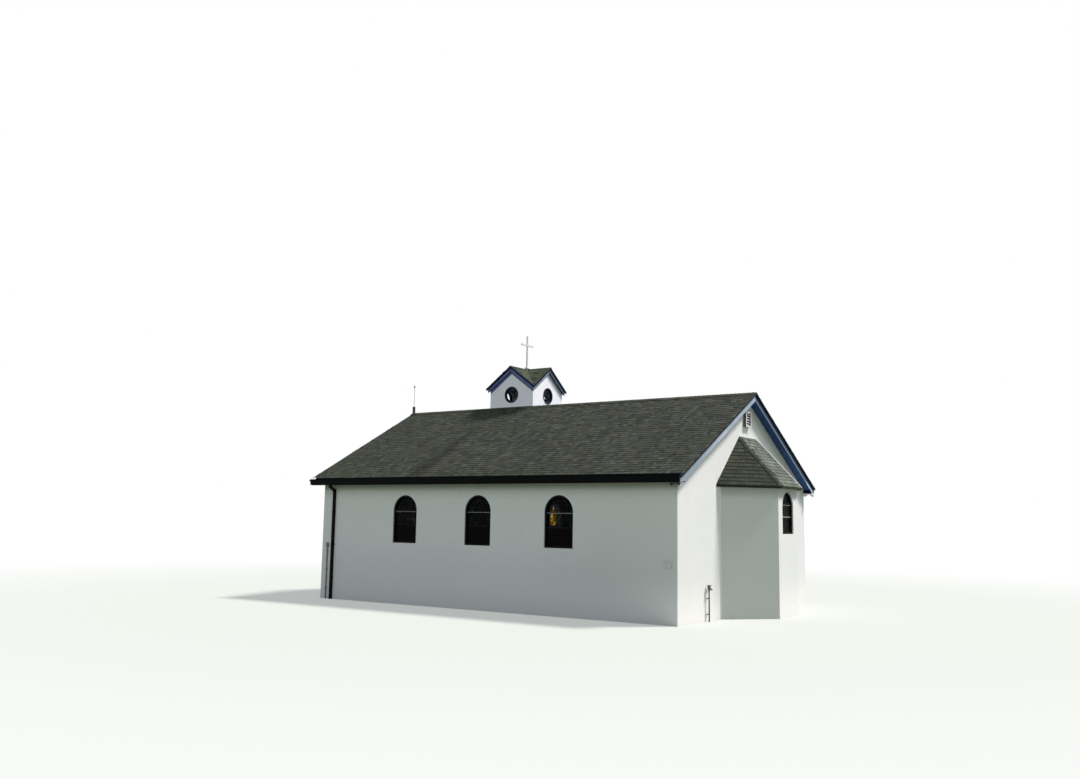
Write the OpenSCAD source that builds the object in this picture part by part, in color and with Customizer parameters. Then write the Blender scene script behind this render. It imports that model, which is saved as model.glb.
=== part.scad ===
// Small chapel: one stuccoed block room under a steep gabled shingle roof, a canted apse
// with a hipped roof of its own, and a square cupola with four small gables and a cross.
// The origin is at ground level in the middle of the long room. +X points to the apse,
// +Z points up, and the long wall with the downspout near its far corner lies on -Y.

/* [Long room] */
// Length of the room outside its end walls
nave_len = 11140; // [9600:10:14000]
// Width of the room outside its long walls
nave_wid = 8070; // [7000:10:9600]
// Height of the long walls, from the ground to the underside of the roof
wall_h = 3340; // [3240:10:4000]
// Thickness of the masonry walls
wall_t = 220; // [150:10:300]
// Thickness of the floor slab, which lies on the ground between the walls
floor_t = 150; // [80:10:250]

/* [Main roof] */
// Pitch of the two slopes in degrees
roof_pitch = 28.2; // [22:0.1:34]
// Thickness of the roof, measured square to its slope
roof_t = 100; // [70:5:160]
// Overhang of the slopes past the long walls, to the face of the fascia
eave_over = 165; // [120:5:300]
// Overhang of the roof past the wall with the apse
apse_rake_over = 255; // [180:5:450]
// Overhang of the roof past the wall with the door
door_rake_over = 345; // [180:5:450]
// Distance that the roof covering hangs past the fascia
drip_over = 25; // [10:5:50]
// Thickness of the roof covering at the eaves
drip_t = 22; // [12:2:40]
// Distance that the roof edge runs past the barge boards
edge_over = 40; // [20:5:110]
// Thickness of the roof edge over the barge boards, square to the slope
edge_t = 37; // [24:1:60]
// Width of the barge boards, square to the slope
barge_w = 150; // [100:5:200]
// Distance that the lining behind the barge boards lies above their lower edges
lining_up = 10; // [0:1:30]
// Thickness of the barge boards, fascia and soffit boards
board_t = 24; // [16:1:40]
// Height of the fascia below the top of the roof edge
fascia_h = 205; // [150:5:280]
// Width of the ridge cap on each slope
ridge_cap_w = 150; // [90:10:220]
// Thickness of the ridge cap
ridge_cap_t = 14; // [8:1:25]

/* [Gutters] */
// Width of the gutters at their lips
gutter_w = 120; // [90:5:160]
// Height of the gutters
gutter_h = 150; // [90:5:170]
// Sheet thickness of the gutters, with their hems
gutter_t = 4; // [2:1:8]
// Width of the downspouts along the wall
spout_w = 78; // [50:1:110]
// Depth of the downspouts
spout_d = 58; // [40:1:90]
// Length of the upright outlet under the gutter
spout_drop = 45; // [30:5:120]
// Height over which the downspout runs back to the wall
spout_fall = 110; // [60:5:260]
// Distance from the corner of the room to the middle of the downspout
spout_in = 425; // [200:10:900]

/* [Long wall windows] */
// Number of windows in each long wall
window_count = 3; // [1:1:4]
// Distance from one window to the next
window_step = 2455; // [1200:5:2600]
// Distance from the middle of the room to the middle of the window row, towards the door
window_shift = 48; // [0:2:300]
// Distance that the windows of the far wall stand nearer to the door than those of the near wall
far_shift = 550; // [0:10:700]
// Width of the window openings
window_w = 825; // [600:5:1000]
// Height of the window openings to the top of the round arch
window_h = 1266; // [1050:2:1500]
// Height of the window sills above the ground
window_sill = 1610; // [1200:10:1750]
// Width of the window frames as seen from the front
frame_w = 42; // [25:1:70]
// Depth of the window frames through the wall
frame_d = 80; // [50:5:120]
// Distance from the face of the wall back to the window frames
frame_back = 30; // [5:5:60]
// Thickness of the glass
glass_t = 8; // [4:1:20]
// Gap round every frame, pane and rim that is set in an opening
fit_gap = 0.3; // [0.2:0.1:0.8]

/* [Apse] */
// Width of the apse where it meets the end wall
apse_base_w = 3590; // [3000:10:4400]
// Width of the front face of the apse
apse_front_w = 1266; // [1150:2:1700]
// Projection of the apse from the end wall
apse_out = 1038; // [800:2:1500]
// Thickness of the apse walls
apse_wall_t = 190; // [120:10:240]
// Width of the opening between the room and the apse
chancel_w = 2700; // [1500:10:3000]
// Height of that opening above the floor
chancel_h = 2700; // [2200:10:2900]
// Height of the eave of the apse roof above the ground
apse_eave_z = 3196; // [3150:2:3500]
// Overhang of the apse roof past its walls
apse_over = 120; // [60:5:220]
// Rise of the apse roof from its eave to its top edge on the end wall
apse_rise = 1250; // [900:10:1600]
// Width of that top edge
apse_top_w = 1146; // [700:2:1500]
// Thickness of the apse roof, measured upright
apse_roof_t = 64; // [50:2:140]
// Width of the apse window opening
apse_window_w = 736; // [500:2:800]
// Height of the apse window opening
apse_window_h = 1040; // [800:10:1050]
// Height of the apse window sill above the ground
apse_window_sill = 2026; // [1700:2:2080]

/* [Door] */
// Width of the doorway
door_w = 1500; // [1200:10:1800]
// Height of the doorway above the floor
door_h = 2150; // [2000:10:2400]
// Width of the door frame as seen from the front
door_frame_w = 70; // [40:5:100]
// Depth of the door frame
door_frame_d = 130; // [80:5:150]
// Distance from the face of the wall back to the door frame
door_back = 40; // [10:5:70]
// Thickness of the door leaves
leaf_t = 45; // [35:1:60]
// Gap between the door leaves, and between the leaves and the frame
leaf_gap = 3; // [2:1:6]

/* [Cupola] */
// Side of the square cupola
cupola_side = 1580; // [1200:10:1900]
// Distance from the door end of the room to the middle of the cupola
cupola_from_door = 3560; // [2400:2:5000]
// Distance from the ridge to the near face of the cupola
cupola_back = 20; // [0:5:400]
// Thickness of the cupola walls
cupola_wall_t = 90; // [60:5:140]
// Height of the cupola's gable peaks above the ridge of the main roof
cupola_peak_h = 1268; // [1000:2:1600]
// Pitch of the cupola's small roofs in degrees
cupola_pitch = 36.2; // [28:0.1:44]
// Overhang of the cupola roof on all four sides
cupola_over = 102; // [60:5:200]
// Thickness of the cupola roof, measured upright
cupola_roof_t = 66; // [30:2:90]
// Distance that the cupola roof runs past its barge boards
cupola_edge_over = 42; // [10:2:80]
// Height of the cupola's barge boards, measured upright
cupola_barge_h = 84; // [60:2:140]
// Thickness of the cupola's barge boards
cupola_barge_t = 22; // [14:1:35]
// Distance that the lining behind the cupola's barge boards ends above their lower edges
cupola_lining_up = 6; // [0:1:20]
// Outer diameter of the round window rims
rim_d = 494; // [380:2:600]
// Width of the rim from its outer to its inner edge
rim_w = 58; // [35:1:90]
// Distance that the rim stands out from the wall
rim_out = 16; // [8:1:40]
// Height of the middle of the round windows above the ridge
round_z = 397; // [320:1:560]

/* [Cross and rod] */
// Height of the cross above the peaks of the cupola
cross_h = 1050; // [600:10:1500]
// Span of the arms of the cross
cross_span = 612; // [400:2:900]
// Height of the middle of the arms above the peaks
cross_arm_z = 756; // [450:2:1000]
// Thickness of the bars of the cross
cross_bar = 44; // [25:1:70]
// Height of the post at the door end of the ridge
rod_post_h = 200; // [100:10:400]
// Width of that post
rod_post_w = 62; // [40:1:90]
// Height of the thin rod, from the top of the ridge cap
rod_h = 870; // [500:10:1500]
// Diameter of the thin rod
rod_d = 16; // [12:1:25]
// Diameter of the ball on the rod
rod_ball_d = 62; // [40:1:90]
// Distance from the end of the ridge to the post
rod_in = 5; // [0:5:300]

/* [Wall fittings] */
// Width of the louvred vent in the gable above the apse
vent_w = 330; // [220:10:450]
// Height of the vent
vent_h = 390; // [280:10:500]
// Depth of the vent box outside the wall
vent_d = 78; // [40:2:120]
// Height of the bottom of the vent above the ground
vent_z = 4722; // [4640:2:4800]
// Distance of the vent from the middle of the gable, towards the near long wall
vent_off = 125; // [0:5:140]
// Number of louvre slats
slat_count = 5; // [3:1:7]
// Height of the standpipe at the foot of the apse end wall
standpipe_h = 830; // [600:10:1100]
// Distance of the standpipe from the middle of the end wall
standpipe_y = 2540; // [2300:5:3600]
// Distance of the standpipe's middle from the face of the wall
standpipe_stand = 66; // [50:2:120]
// Height of the top of the conduit near the door corner
conduit_h = 1430; // [900:10:1800]
// Diameter of the conduit
conduit_d = 34; // [22:1:50]
// Width of the small meter box on the long wall
box_w = 170; // [100:5:260]
// Height of the small meter box
box_h = 130; // [90:5:220]

/* [Hidden] */

half_l = nave_len / 2;
half_w = nave_wid / 2;
roof_slope = tan(roof_pitch);
roof_drop = roof_t / cos(roof_pitch);
edge_drop = edge_t / cos(roof_pitch);
ridge_z = wall_h + roof_slope * half_w + roof_drop;
edge_y = half_w + eave_over;
rake_reach = edge_y + gutter_w;
roof_x0 = -half_l - door_rake_over;
roof_x1 = half_l + apse_rake_over;
barge_x0 = roof_x0 + edge_over;
barge_x1 = roof_x1 - edge_over;
soffit_z = roof_top(edge_y) - fascia_h;
lintel_z = floor_t + door_h;
chancel_z = floor_t + chancel_h;
big = 20000;
arc_fn = 96;
pipe_fn = 32;

cant = atan2(apse_out, (apse_base_w - apse_front_w) / 2);
apse_slope = apse_rise / (apse_out + apse_over);
eave_half = apse_base_w / 2 + apse_over / sin(cant);
eave_front = apse_front_w / 2 + apse_over * tan(cant / 2);

cupola_x = cupola_from_door - half_l;
cupola_y = cupola_back + cupola_side / 2;
cupola_peak_z = ridge_z + cupola_peak_h;
cupola_slope = tan(cupola_pitch);
cupola_half = cupola_side / 2 + cupola_over;
round_window_z = ridge_z + round_z;

// Height of the top of the main roof at a distance y from the ridge
function roof_top(y) = ridge_z - roof_slope * abs(y);

// Height of the underside of the main roof at a distance y from the ridge
function roof_under(y) = roof_top(y) - roof_drop;

// Position of window i of a long wall along the room
function window_x(i) = (i - (window_count - 1) / 2) * window_step - window_shift;

// Takes a flat outline in the Y-Z plane and extrudes it along X from x0 to x1
module along_x(x0, x1) {
    translate([x0, 0, 0]) rotate([90, 0, 90]) linear_extrude(x1 - x0) children();
}

// Takes a flat outline in the X-Z plane and extrudes it along Y from y0 to y1
module along_y(y0, y1) {
    translate([0, y1, 0]) rotate([90, 0, 0]) linear_extrude(y1 - y0) children();
}

// Flat outline of an opening w wide and h high with a round arch, standing on the X axis
module arch(w, h) {
    translate([-w / 2, 0]) square([w, h - w / 2]);
    translate([0, h - w / 2]) circle(d = w, $fn = arc_fn);
}

// Ring between an arch outline and the same outline moved inwards by w
module arch_ring(w, h, inset) {
    difference() {
        arch(w, h);
        translate([0, inset]) arch(w - 2 * inset, h - 2 * inset);
    }
}

// Band that follows both slopes of the main roof, between two depths below its top
module slope_band(reach, upper, lower, x0, x1) {
    along_x(x0, x1) polygon([
        [-reach, roof_top(reach) - upper], [0, ridge_z - upper], [reach, roof_top(reach) - upper],
        [reach, roof_top(reach) - lower], [0, ridge_z - lower], [-reach, roof_top(reach) - lower]]);
}

// Floors

module nave_floor() {
    color("darkgray")
        translate([-half_l + wall_t, -half_w + wall_t, 0])
            cube([nave_len - 2 * wall_t, nave_wid - 2 * wall_t, floor_t]);
}

// Half width of the space between the canted walls at a distance x in front of the end wall
function apse_inner(x) = apse_base_w / 2 - apse_wall_t / sin(cant) - x / tan(cant);

module apse_floor() {
    depth = apse_out - apse_wall_t;
    color("darkgray") union() {
        translate([half_l, 0, 0]) linear_extrude(floor_t) polygon([
            [0, -apse_inner(0)], [depth, -apse_inner(depth)], [depth, apse_inner(depth)], [0, apse_inner(0)]]);
        translate([half_l - wall_t, -chancel_w / 2, 0]) cube([wall_t, chancel_w, floor_t]);
    }
}

// Long walls, whose tops are cut to the slope of the roof

module long_wall_outline() {
    polygon([[-half_w, 0], [-half_w + wall_t, 0], [-half_w + wall_t, roof_under(half_w - wall_t)],
             [-half_w, roof_under(half_w)]]);
}

// One long wall, whose windows are moved towards the door by the given distance
module long_wall(move) {
    difference() {
        along_x(-half_l, half_l) long_wall_outline();
        for (i = [0 : window_count - 1])
            translate([window_x(i) - move, 0, window_sill])
                along_y(-half_w - 1, -half_w + wall_t + 1) arch(window_w, window_h);
    }
}

module near_wall() {
    color("gainsboro") long_wall(0);
}

module far_wall() {
    color("gainsboro") mirror([0, 1, 0]) long_wall(far_shift);
}

// End walls, which stand between the long walls

// Upper part of an end wall, from z0 to the underside of the roof
module gable_outline(z0) {
    y = half_w - wall_t;
    polygon([[-y, z0], [y, z0], [y, roof_under(y)], [0, roof_under(0)], [-y, roof_under(y)]]);
}

module door_wall_near() {
    side = half_w - wall_t - door_w / 2;
    color("whitesmoke") translate([-half_l, -half_w + wall_t, 0]) cube([wall_t, side, lintel_z]);
}

module door_wall_far() {
    mirror([0, 1, 0]) door_wall_near();
}

module door_gable() {
    color("whitesmoke") along_x(-half_l, -half_l + wall_t) gable_outline(lintel_z);
}

module apse_end_wall_near() {
    side = half_w - wall_t - chancel_w / 2;
    color("whitesmoke") translate([half_l - wall_t, -half_w + wall_t, 0]) cube([wall_t, side, chancel_z]);
}

module apse_end_wall_far() {
    mirror([0, 1, 0]) apse_end_wall_near();
}

module apse_end_gable() {
    color("whitesmoke") along_x(half_l - wall_t, half_l) difference() {
        gable_outline(chancel_z);
        translate([-vent_off, vent_z + vent_h / 2]) square([vent_w - 60, vent_h - 60], center = true);
    }
}

// Apse: two canted walls and a front wall under a roof with two hips

// Plan of the space under the apse roof's outer edge, with its outline moved down to the ground
module apse_cap(drop, z_low) {
    x0 = half_l;
    x1 = half_l + apse_out + apse_over;
    z0 = apse_eave_z - drop;
    z1 = z0 + apse_rise;
    top = apse_top_w / 2;
    polyhedron(
        points = [[x0, -eave_half, z_low], [x1, -eave_front, z_low], [x1, eave_front, z_low], [x0, eave_half, z_low],
                  [x0, -eave_half, z0], [x1, -eave_front, z0], [x1, eave_front, z0], [x0, eave_half, z0],
                  [x0, -top, z1], [x0, top, z1]],
        faces = [[0, 1, 2, 3], [0, 4, 5, 1], [1, 5, 6, 2], [2, 6, 7, 3],
                 [4, 8, 5], [5, 8, 9, 6], [6, 9, 7], [0, 3, 7, 9, 8, 4]]);
}

// Column of wall on a four-cornered plan, cut off by the underside of the apse roof
module apse_wall(plan) {
    intersection() {
        linear_extrude(apse_eave_z + apse_rise) polygon(plan);
        apse_cap(apse_roof_t, -1);
    }
}

function apse_out_corner() = [half_l + apse_out, -apse_front_w / 2];
function apse_in_corner() = [half_l + apse_out - apse_wall_t, -apse_front_w / 2 + apse_wall_t * tan(cant / 2)];

module apse_near_wall() {
    color("gainsboro") apse_wall([
        [half_l, -apse_base_w / 2], apse_out_corner(), apse_in_corner(), [half_l, -apse_inner(0)]]);
}

module apse_far_wall() {
    mirror([0, 1, 0]) apse_near_wall();
}

module apse_front_wall() {
    a = apse_out_corner();
    b = apse_in_corner();
    color("whitesmoke") difference() {
        apse_wall([a, [a[0], -a[1]], [b[0], -b[1]], b]);
        translate([0, 0, apse_window_sill]) along_x(b[0] - 1, a[0] + 1) arch(apse_window_w, apse_window_h);
    }
}

module apse_roof() {
    color("darkslategray") difference() {
        apse_cap(0, apse_eave_z - apse_roof_t);
        translate([0, 0, -0.01]) apse_cap(apse_roof_t, 0);
    }
}

// Main roof

// Layer of one slope from the ridge down to a distance reach, t thick upright, between x0 and x1
module layer(reach, t, x0, x1) {
    along_x(x0, x1) polygon([
        [0, ridge_z], [-reach, roof_top(reach)], [-reach, roof_top(reach) - t], [0, ridge_z - t]]);
}

// One slope of the roof, with its covering run out over the gutter and its edges over the barge boards
module roof_slope_solid() {
    y0 = edge_y - board_t;
    union() {
        along_x(barge_x0 + board_t, barge_x1 - board_t) polygon([
            [0, ridge_z - drip_t / 2], [-y0, roof_top(y0) - drip_t / 2], [-y0, roof_under(y0)], [0, roof_under(0)]]);
        layer(edge_y + drip_over, drip_t, roof_x0, roof_x1);
        layer(rake_reach, edge_drop, roof_x0, barge_x0 + board_t);
        layer(rake_reach, edge_drop, barge_x1 - board_t, roof_x1);
    }
}

module near_roof_slope() {
    color("darkslategray") roof_slope_solid();
}

module far_roof_slope() {
    color("darkslategray") mirror([0, 1, 0]) roof_slope_solid();
}

module ridge_cap() {
    y = ridge_cap_w * cos(roof_pitch);
    color("dimgray") difference() {
        along_x(roof_x0, roof_x1) polygon([
            [-y, roof_top(y)], [0, ridge_z], [y, roof_top(y)], [y, roof_top(y) + ridge_cap_t],
            [0, ridge_z + ridge_cap_t], [-y, roof_top(y) + ridge_cap_t]]);
        cupola_shaft(cupola_side);
    }
}

// Fascia and soffit board under one eave
module near_eave_box() {
    y1 = edge_y;
    y0 = y1 - board_t;
    color("black") along_x(barge_x0 + board_t, barge_x1 - board_t) polygon([
        [-y1, soffit_z], [-y1, roof_top(y1) - drip_t], [-y0, roof_top(y0) - drip_t], [-y0, soffit_z + board_t],
        [-half_w, soffit_z + board_t], [-half_w, soffit_z]]);
}

module far_eave_box() {
    mirror([0, 1, 0]) near_eave_box();
}

// Two barge boards with level feet, whose faces lie at x_face, and the boxed lining behind them
module rake(x_wall, x_face) {
    barge_drop = edge_drop + barge_w / cos(roof_pitch);
    x_back = x_face - sign(x_face - x_wall) * board_t;
    difference() {
        union() {
            slope_band(rake_reach, edge_drop, barge_drop, min(x_face, x_back), max(x_face, x_back));
            slope_band(half_w, roof_drop, barge_drop - lining_up, min(x_wall, x_back), max(x_wall, x_back));
        }
        translate([min(x_wall, x_face) - 1, -rake_reach - 1, 0])
            cube([abs(x_face - x_wall) + 2, 2 * rake_reach + 2, soffit_z]);
    }
}

module apse_end_rake() {
    color("steelblue") rake(half_l, barge_x1);
}

module door_end_rake() {
    color("steelblue") rake(-half_l, barge_x0);
}

// Gutters and downspouts

module near_gutter() {
    y0 = -edge_y;
    y1 = -edge_y - gutter_w;
    z1 = roof_top(edge_y + gutter_w);
    z0 = z1 - gutter_h;
    foot = gutter_w * 0.66;
    hollow = [[y0 - gutter_t, z1 + 1], [y0 - gutter_t, z0 + gutter_t], [y0 - foot, z0 + gutter_t],
              [y1 + gutter_t, z0 + gutter_h * 0.62], [y1 + gutter_t, z1 + 1]];
    x0 = barge_x0 + board_t;
    x1 = barge_x1 - board_t;
    color("black") difference() {
        along_x(x0, x1) polygon([
            [y0, z0], [y0 - foot, z0], [y1, z0 + gutter_h * 0.6], [y1, z1], [y0, z1]]);
        along_x(x0 + gutter_t, x1 - gutter_t) polygon(hollow);
    }
}

module far_gutter() {
    mirror([0, 1, 0]) near_gutter();
}

// Pipe that drops from the gutter, runs back to the wall under two mitred elbows and goes down it
module near_downspout() {
    x = -half_l + spout_in;
    y_top = -edge_y - gutter_w * 0.33;
    y_wall = -half_w - spout_d / 2;
    z_top = roof_top(edge_y + gutter_w) - gutter_h;
    z_turn = z_top - spout_drop;
    z_bend = z_turn - spout_fall;
    half = spout_d / 2;
    mitre = half * tan(atan2(y_wall - y_top, spout_fall) / 2);
    strap_side = 12;
    strap_t = 3;
    strap_h = 24;
    color("black") union() {
        along_x(x - spout_w / 2, x + spout_w / 2) polygon([
            [y_top - half, z_top], [y_top - half, z_turn - mitre], [y_wall - half, z_bend - mitre],
            [y_wall - half, 0], [y_wall + half, 0], [y_wall + half, z_bend + mitre],
            [y_top + half, z_turn + mitre], [y_top + half, z_top]]);
        for (part = [0.2, 0.5, 0.8])
            translate([x - spout_w / 2 - strap_side, -half_w - spout_d - strap_t, z_bend * part])
                cube([spout_w + 2 * strap_side, spout_d + strap_t, strap_h]);
    }
}

module far_downspout() {
    mirror([0, 1, 0]) near_downspout();
}

// Windows

// The frames of one long wall, moved towards the door by the given distance
module window_frames(move) {
    y1 = -half_w + frame_back + frame_d;
    for (i = [0 : window_count - 1])
        translate([window_x(i) - move, 0, window_sill + fit_gap])
            along_y(y1 - frame_d, y1) arch_ring(window_w - 2 * fit_gap, window_h - 2 * fit_gap, frame_w);
}

module near_window_frames() {
    color("black") window_frames(0);
}

module far_window_frames() {
    color("black") mirror([0, 1, 0]) window_frames(far_shift);
}

// The panes of one long wall, moved towards the door by the given distance
module window_panes(move) {
    inset = frame_w + 2 * fit_gap;
    y0 = -half_w + frame_back + frame_d / 2;
    for (i = [0 : window_count - 1])
        translate([window_x(i) - move, 0, window_sill + inset])
            along_y(y0, y0 + glass_t) arch(window_w - 2 * inset, window_h - 2 * inset);
}

module near_window_glass() {
    color("darkslateblue", 0.5) window_panes(0);
}

module far_window_glass() {
    color("darkslateblue", 0.5) mirror([0, 1, 0]) window_panes(far_shift);
}

module apse_window_frame() {
    x1 = half_l + apse_out - frame_back;
    color("black") translate([0, 0, apse_window_sill + fit_gap])
        along_x(x1 - frame_d, x1) arch_ring(apse_window_w - 2 * fit_gap, apse_window_h - 2 * fit_gap, frame_w);
}

module apse_window_glass() {
    inset = frame_w + 2 * fit_gap;
    x1 = half_l + apse_out - frame_back - frame_d / 2;
    color("darkslateblue", 0.5) translate([0, 0, apse_window_sill + inset])
        along_x(x1 - glass_t, x1) arch(apse_window_w - 2 * inset, apse_window_h - 2 * inset);
}

// Doorway with two leaves that are shut

module door_frame() {
    x0 = -half_l + door_back;
    color("steelblue") along_x(x0, x0 + door_frame_d) difference() {
        translate([-door_w / 2, floor_t]) square([door_w, door_h]);
        translate([-door_w / 2 + door_frame_w, floor_t - 1]) square([door_w - 2 * door_frame_w, door_h - door_frame_w + 1]);
    }
    color("gray") translate([-half_l, -door_w / 2, 0]) cube([wall_t, door_w, floor_t]);
}

module door_leaf_near() {
    x0 = -half_l + door_back + 20;
    clear = door_w / 2 - door_frame_w;
    color("steelblue") translate([x0, -clear + leaf_gap, floor_t])
        cube([leaf_t, clear - 1.5 * leaf_gap, door_h - door_frame_w - leaf_gap]);
}

module door_leaf_far() {
    mirror([0, 1, 0]) door_leaf_near();
}

// Cupola: a square shaft with four gables, two small roofs that cross, and their valleys

// Two crossing roof prisms under the same peak height, filled down to z_low
module crossed_roofs(drop, reach, z_low) {
    z1 = cupola_peak_z - drop;
    outline = [[-reach, z_low], [reach, z_low], [reach, z1 - cupola_slope * reach], [0, z1],
               [-reach, z1 - cupola_slope * reach]];
    translate([cupola_x, cupola_y, 0]) {
        along_x(-reach, reach) polygon(outline);
        along_y(-reach, reach) polygon(outline);
    }
}

// Everything above the main roof, as a prism along the ridge
module above_roof() {
    along_x(-big, big) polygon([
        [-half_w, roof_top(half_w)], [0, ridge_z], [half_w, roof_top(half_w)],
        [half_w, ridge_z + big], [-half_w, ridge_z + big]]);
}

// Square block of the given side round the cupola's middle, from below the roof to above the peaks
module cupola_shaft(side) {
    z0 = roof_top(cupola_y + cupola_side / 2) - roof_drop;
    translate([cupola_x - side / 2, cupola_y - side / 2, z0]) cube([side, side, cupola_peak_z - z0]);
}

module cupola_walls() {
    s = cupola_side;
    opening = rim_d - 2 * rim_out;
    color("whitesmoke") difference() {
        intersection() {
            cupola_shaft(s);
            crossed_roofs(cupola_roof_t, cupola_half + 10, 0);
            above_roof();
        }
        cupola_shaft(s - 2 * cupola_wall_t);
        translate([cupola_x, cupola_y, round_window_z]) {
            rotate([90, 0, 0]) cylinder(d = opening, h = s + 2, center = true, $fn = arc_fn);
            rotate([0, 90, 0]) cylinder(d = opening, h = s + 2, center = true, $fn = arc_fn);
        }
    }
}

module cupola_roof() {
    z_low = cupola_peak_z - cupola_slope * cupola_half - cupola_roof_t;
    color("darkolivegreen") difference() {
        crossed_roofs(0, cupola_half, z_low);
        crossed_roofs(cupola_roof_t, cupola_half + 10, z_low - 100);
    }
}

// Flat band under both slopes of a cupola gable, as wide as reach to each side and high upright
module cupola_band(reach, high) {
    z1 = cupola_peak_z - cupola_roof_t;
    z_foot = z1 - cupola_slope * reach;
    polygon([[-reach, z_foot], [0, z1], [reach, z_foot], [reach, z_foot - high], [0, z1 - high],
             [-reach, z_foot - high]]);
}

// Barge boards on the four gables, and the lining that closes the overhang behind them
module cupola_barge_boards() {
    reach = cupola_half - cupola_edge_over;
    back = reach - cupola_barge_t;
    color("steelblue") translate([cupola_x, cupola_y, 0]) for (turn = [0 : 90 : 270])
        rotate([0, 0, turn]) {
            along_x(back, reach) cupola_band(reach, cupola_barge_h);
            along_x(cupola_side / 2, back) cupola_band(back, cupola_barge_h - cupola_lining_up);
        }
}

// Flat ring round one window, seen from the front of its wall
module rim_on_wall() {
    outer = rim_d / 2;
    inner = outer - rim_w;
    opening = outer - rim_out;
    translate([cupola_side / 2, 0, 0]) rotate([0, 90, 0]) difference() {
        union() {
            cylinder(r = outer, h = rim_out, $fn = arc_fn);
            translate([0, 0, -cupola_wall_t]) cylinder(r = opening - fit_gap, h = cupola_wall_t + 1, $fn = arc_fn);
        }
        translate([0, 0, -cupola_wall_t - 1]) cylinder(r = inner, h = cupola_wall_t + rim_out + 2, $fn = arc_fn);
    }
}

module cupola_window_rims() {
    color("midnightblue") translate([cupola_x, cupola_y, round_window_z])
        for (turn = [0 : 90 : 270]) rotate([0, 0, turn]) rim_on_wall();
}

module cupola_window_glass() {
    pane = rim_d / 2 - rim_w - fit_gap;
    color("lightsteelblue", 0.4) translate([cupola_x, cupola_y, round_window_z])
        for (turn = [0 : 90 : 270]) rotate([0, 0, turn])
            translate([cupola_side / 2 - cupola_wall_t / 2, 0, 0]) rotate([0, 90, 0])
                cylinder(r = pane, h = glass_t, center = true, $fn = arc_fn);
}

// Cross on the crossing of the cupola's ridges, with its arms across the long room

module cross() {
    b = cross_bar;
    saddle = 2.2 * b;
    color("lightgray") difference() {
        translate([cupola_x, cupola_y, cupola_peak_z]) {
            translate([-b / 2, -b / 2, -saddle]) cube([b, b, cross_h + saddle]);
            translate([-b / 2, -cross_span / 2, cross_arm_z - b / 2]) cube([b, cross_span, b]);
            translate([-saddle / 2, -saddle / 2, -saddle]) cube([saddle, saddle, 1.5 * saddle]);
        }
        crossed_roofs(0, cupola_half, cupola_peak_z - cupola_slope * cupola_half);
    }
}

module ridge_rod() {
    x = roof_x0 + rod_post_w / 2 + rod_in;
    color("dimgray") difference() {
        translate([x, 0, ridge_z + ridge_cap_t]) {
            translate([-rod_post_w / 2, -rod_post_w / 2, -100]) cube([rod_post_w, rod_post_w, rod_post_h + 100]);
            cylinder(d = rod_d, h = rod_h, $fn = pipe_fn);
            translate([0, 0, rod_h]) sphere(d = rod_ball_d, $fn = pipe_fn);
        }
        slope_band(half_w, -ridge_cap_t, roof_drop, -big, big);
    }
}

// Fittings on the walls

module gable_vent() {
    inner_w = vent_w - 60;
    inner_h = vent_h - 60;
    pitch = inner_h / slat_count;
    color("white") translate([0, -vent_off, 0]) {
        along_x(half_l, half_l + vent_d) translate([0, vent_z + vent_h / 2]) difference() {
            square([vent_w, vent_h], center = true);
            square([inner_w, inner_h], center = true);
        }
        for (i = [0 : slat_count - 1])
            translate([half_l + 4, -inner_w / 2, vent_z + 30 + pitch * (i + 0.75)])
                rotate([0, 35, 0]) cube([vent_d * 0.8, inner_w, 12]);
    }
}

// Yard standpipe: a pipe with a cast head, a spout and a lever, strapped to the wall
module standpipe() {
    d = 34;
    head_d = 78;
    head_h = 120;
    spout_l = 75;
    lever = [150, 22, 14];
    color("gray") translate([half_l + standpipe_stand, -standpipe_y, 0]) union() {
        cylinder(d = d, h = standpipe_h - head_h, $fn = pipe_fn);
        translate([0, 0, standpipe_h - head_h]) cylinder(d1 = d * 1.4, d2 = head_d, h = head_h * 0.45, $fn = pipe_fn);
        translate([0, 0, standpipe_h - head_h * 0.55]) cylinder(d = head_d, h = head_h * 0.45, $fn = pipe_fn);
        translate([0, 0, standpipe_h - head_h / 2]) rotate([0, 115, 0]) cylinder(d = d, h = spout_l, $fn = pipe_fn);
        translate([-lever[1] / 2, -head_d / 4, standpipe_h - head_h * 0.1]) cube([lever[1], lever[0], lever[2]]);
        for (z = [160, 520])
            translate([-standpipe_stand, -d / 3, z]) cube([standpipe_stand, d * 2 / 3, 24]);
    }
}

module wall_fittings() {
    color("lightgray") {
        translate([-half_l + 215, -half_w - conduit_d / 2 - fit_gap, 0]) union() {
            cylinder(d = conduit_d, h = conduit_h, $fn = pipe_fn);
            for (z = [300, 800, 1300])
                translate([-conduit_d, -conduit_d / 2 - 2, z]) cube([2 * conduit_d, conduit_d + 2 + fit_gap, 20]);
            translate([-40, -35 + conduit_d / 2, conduit_h]) cube([80, 35 + fit_gap, 120]);
        }
        translate([half_l - 230 - box_w / 2, -half_w - 45, 1322 - box_h / 2]) cube([box_w, 45, box_h]);
    }
}

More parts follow.
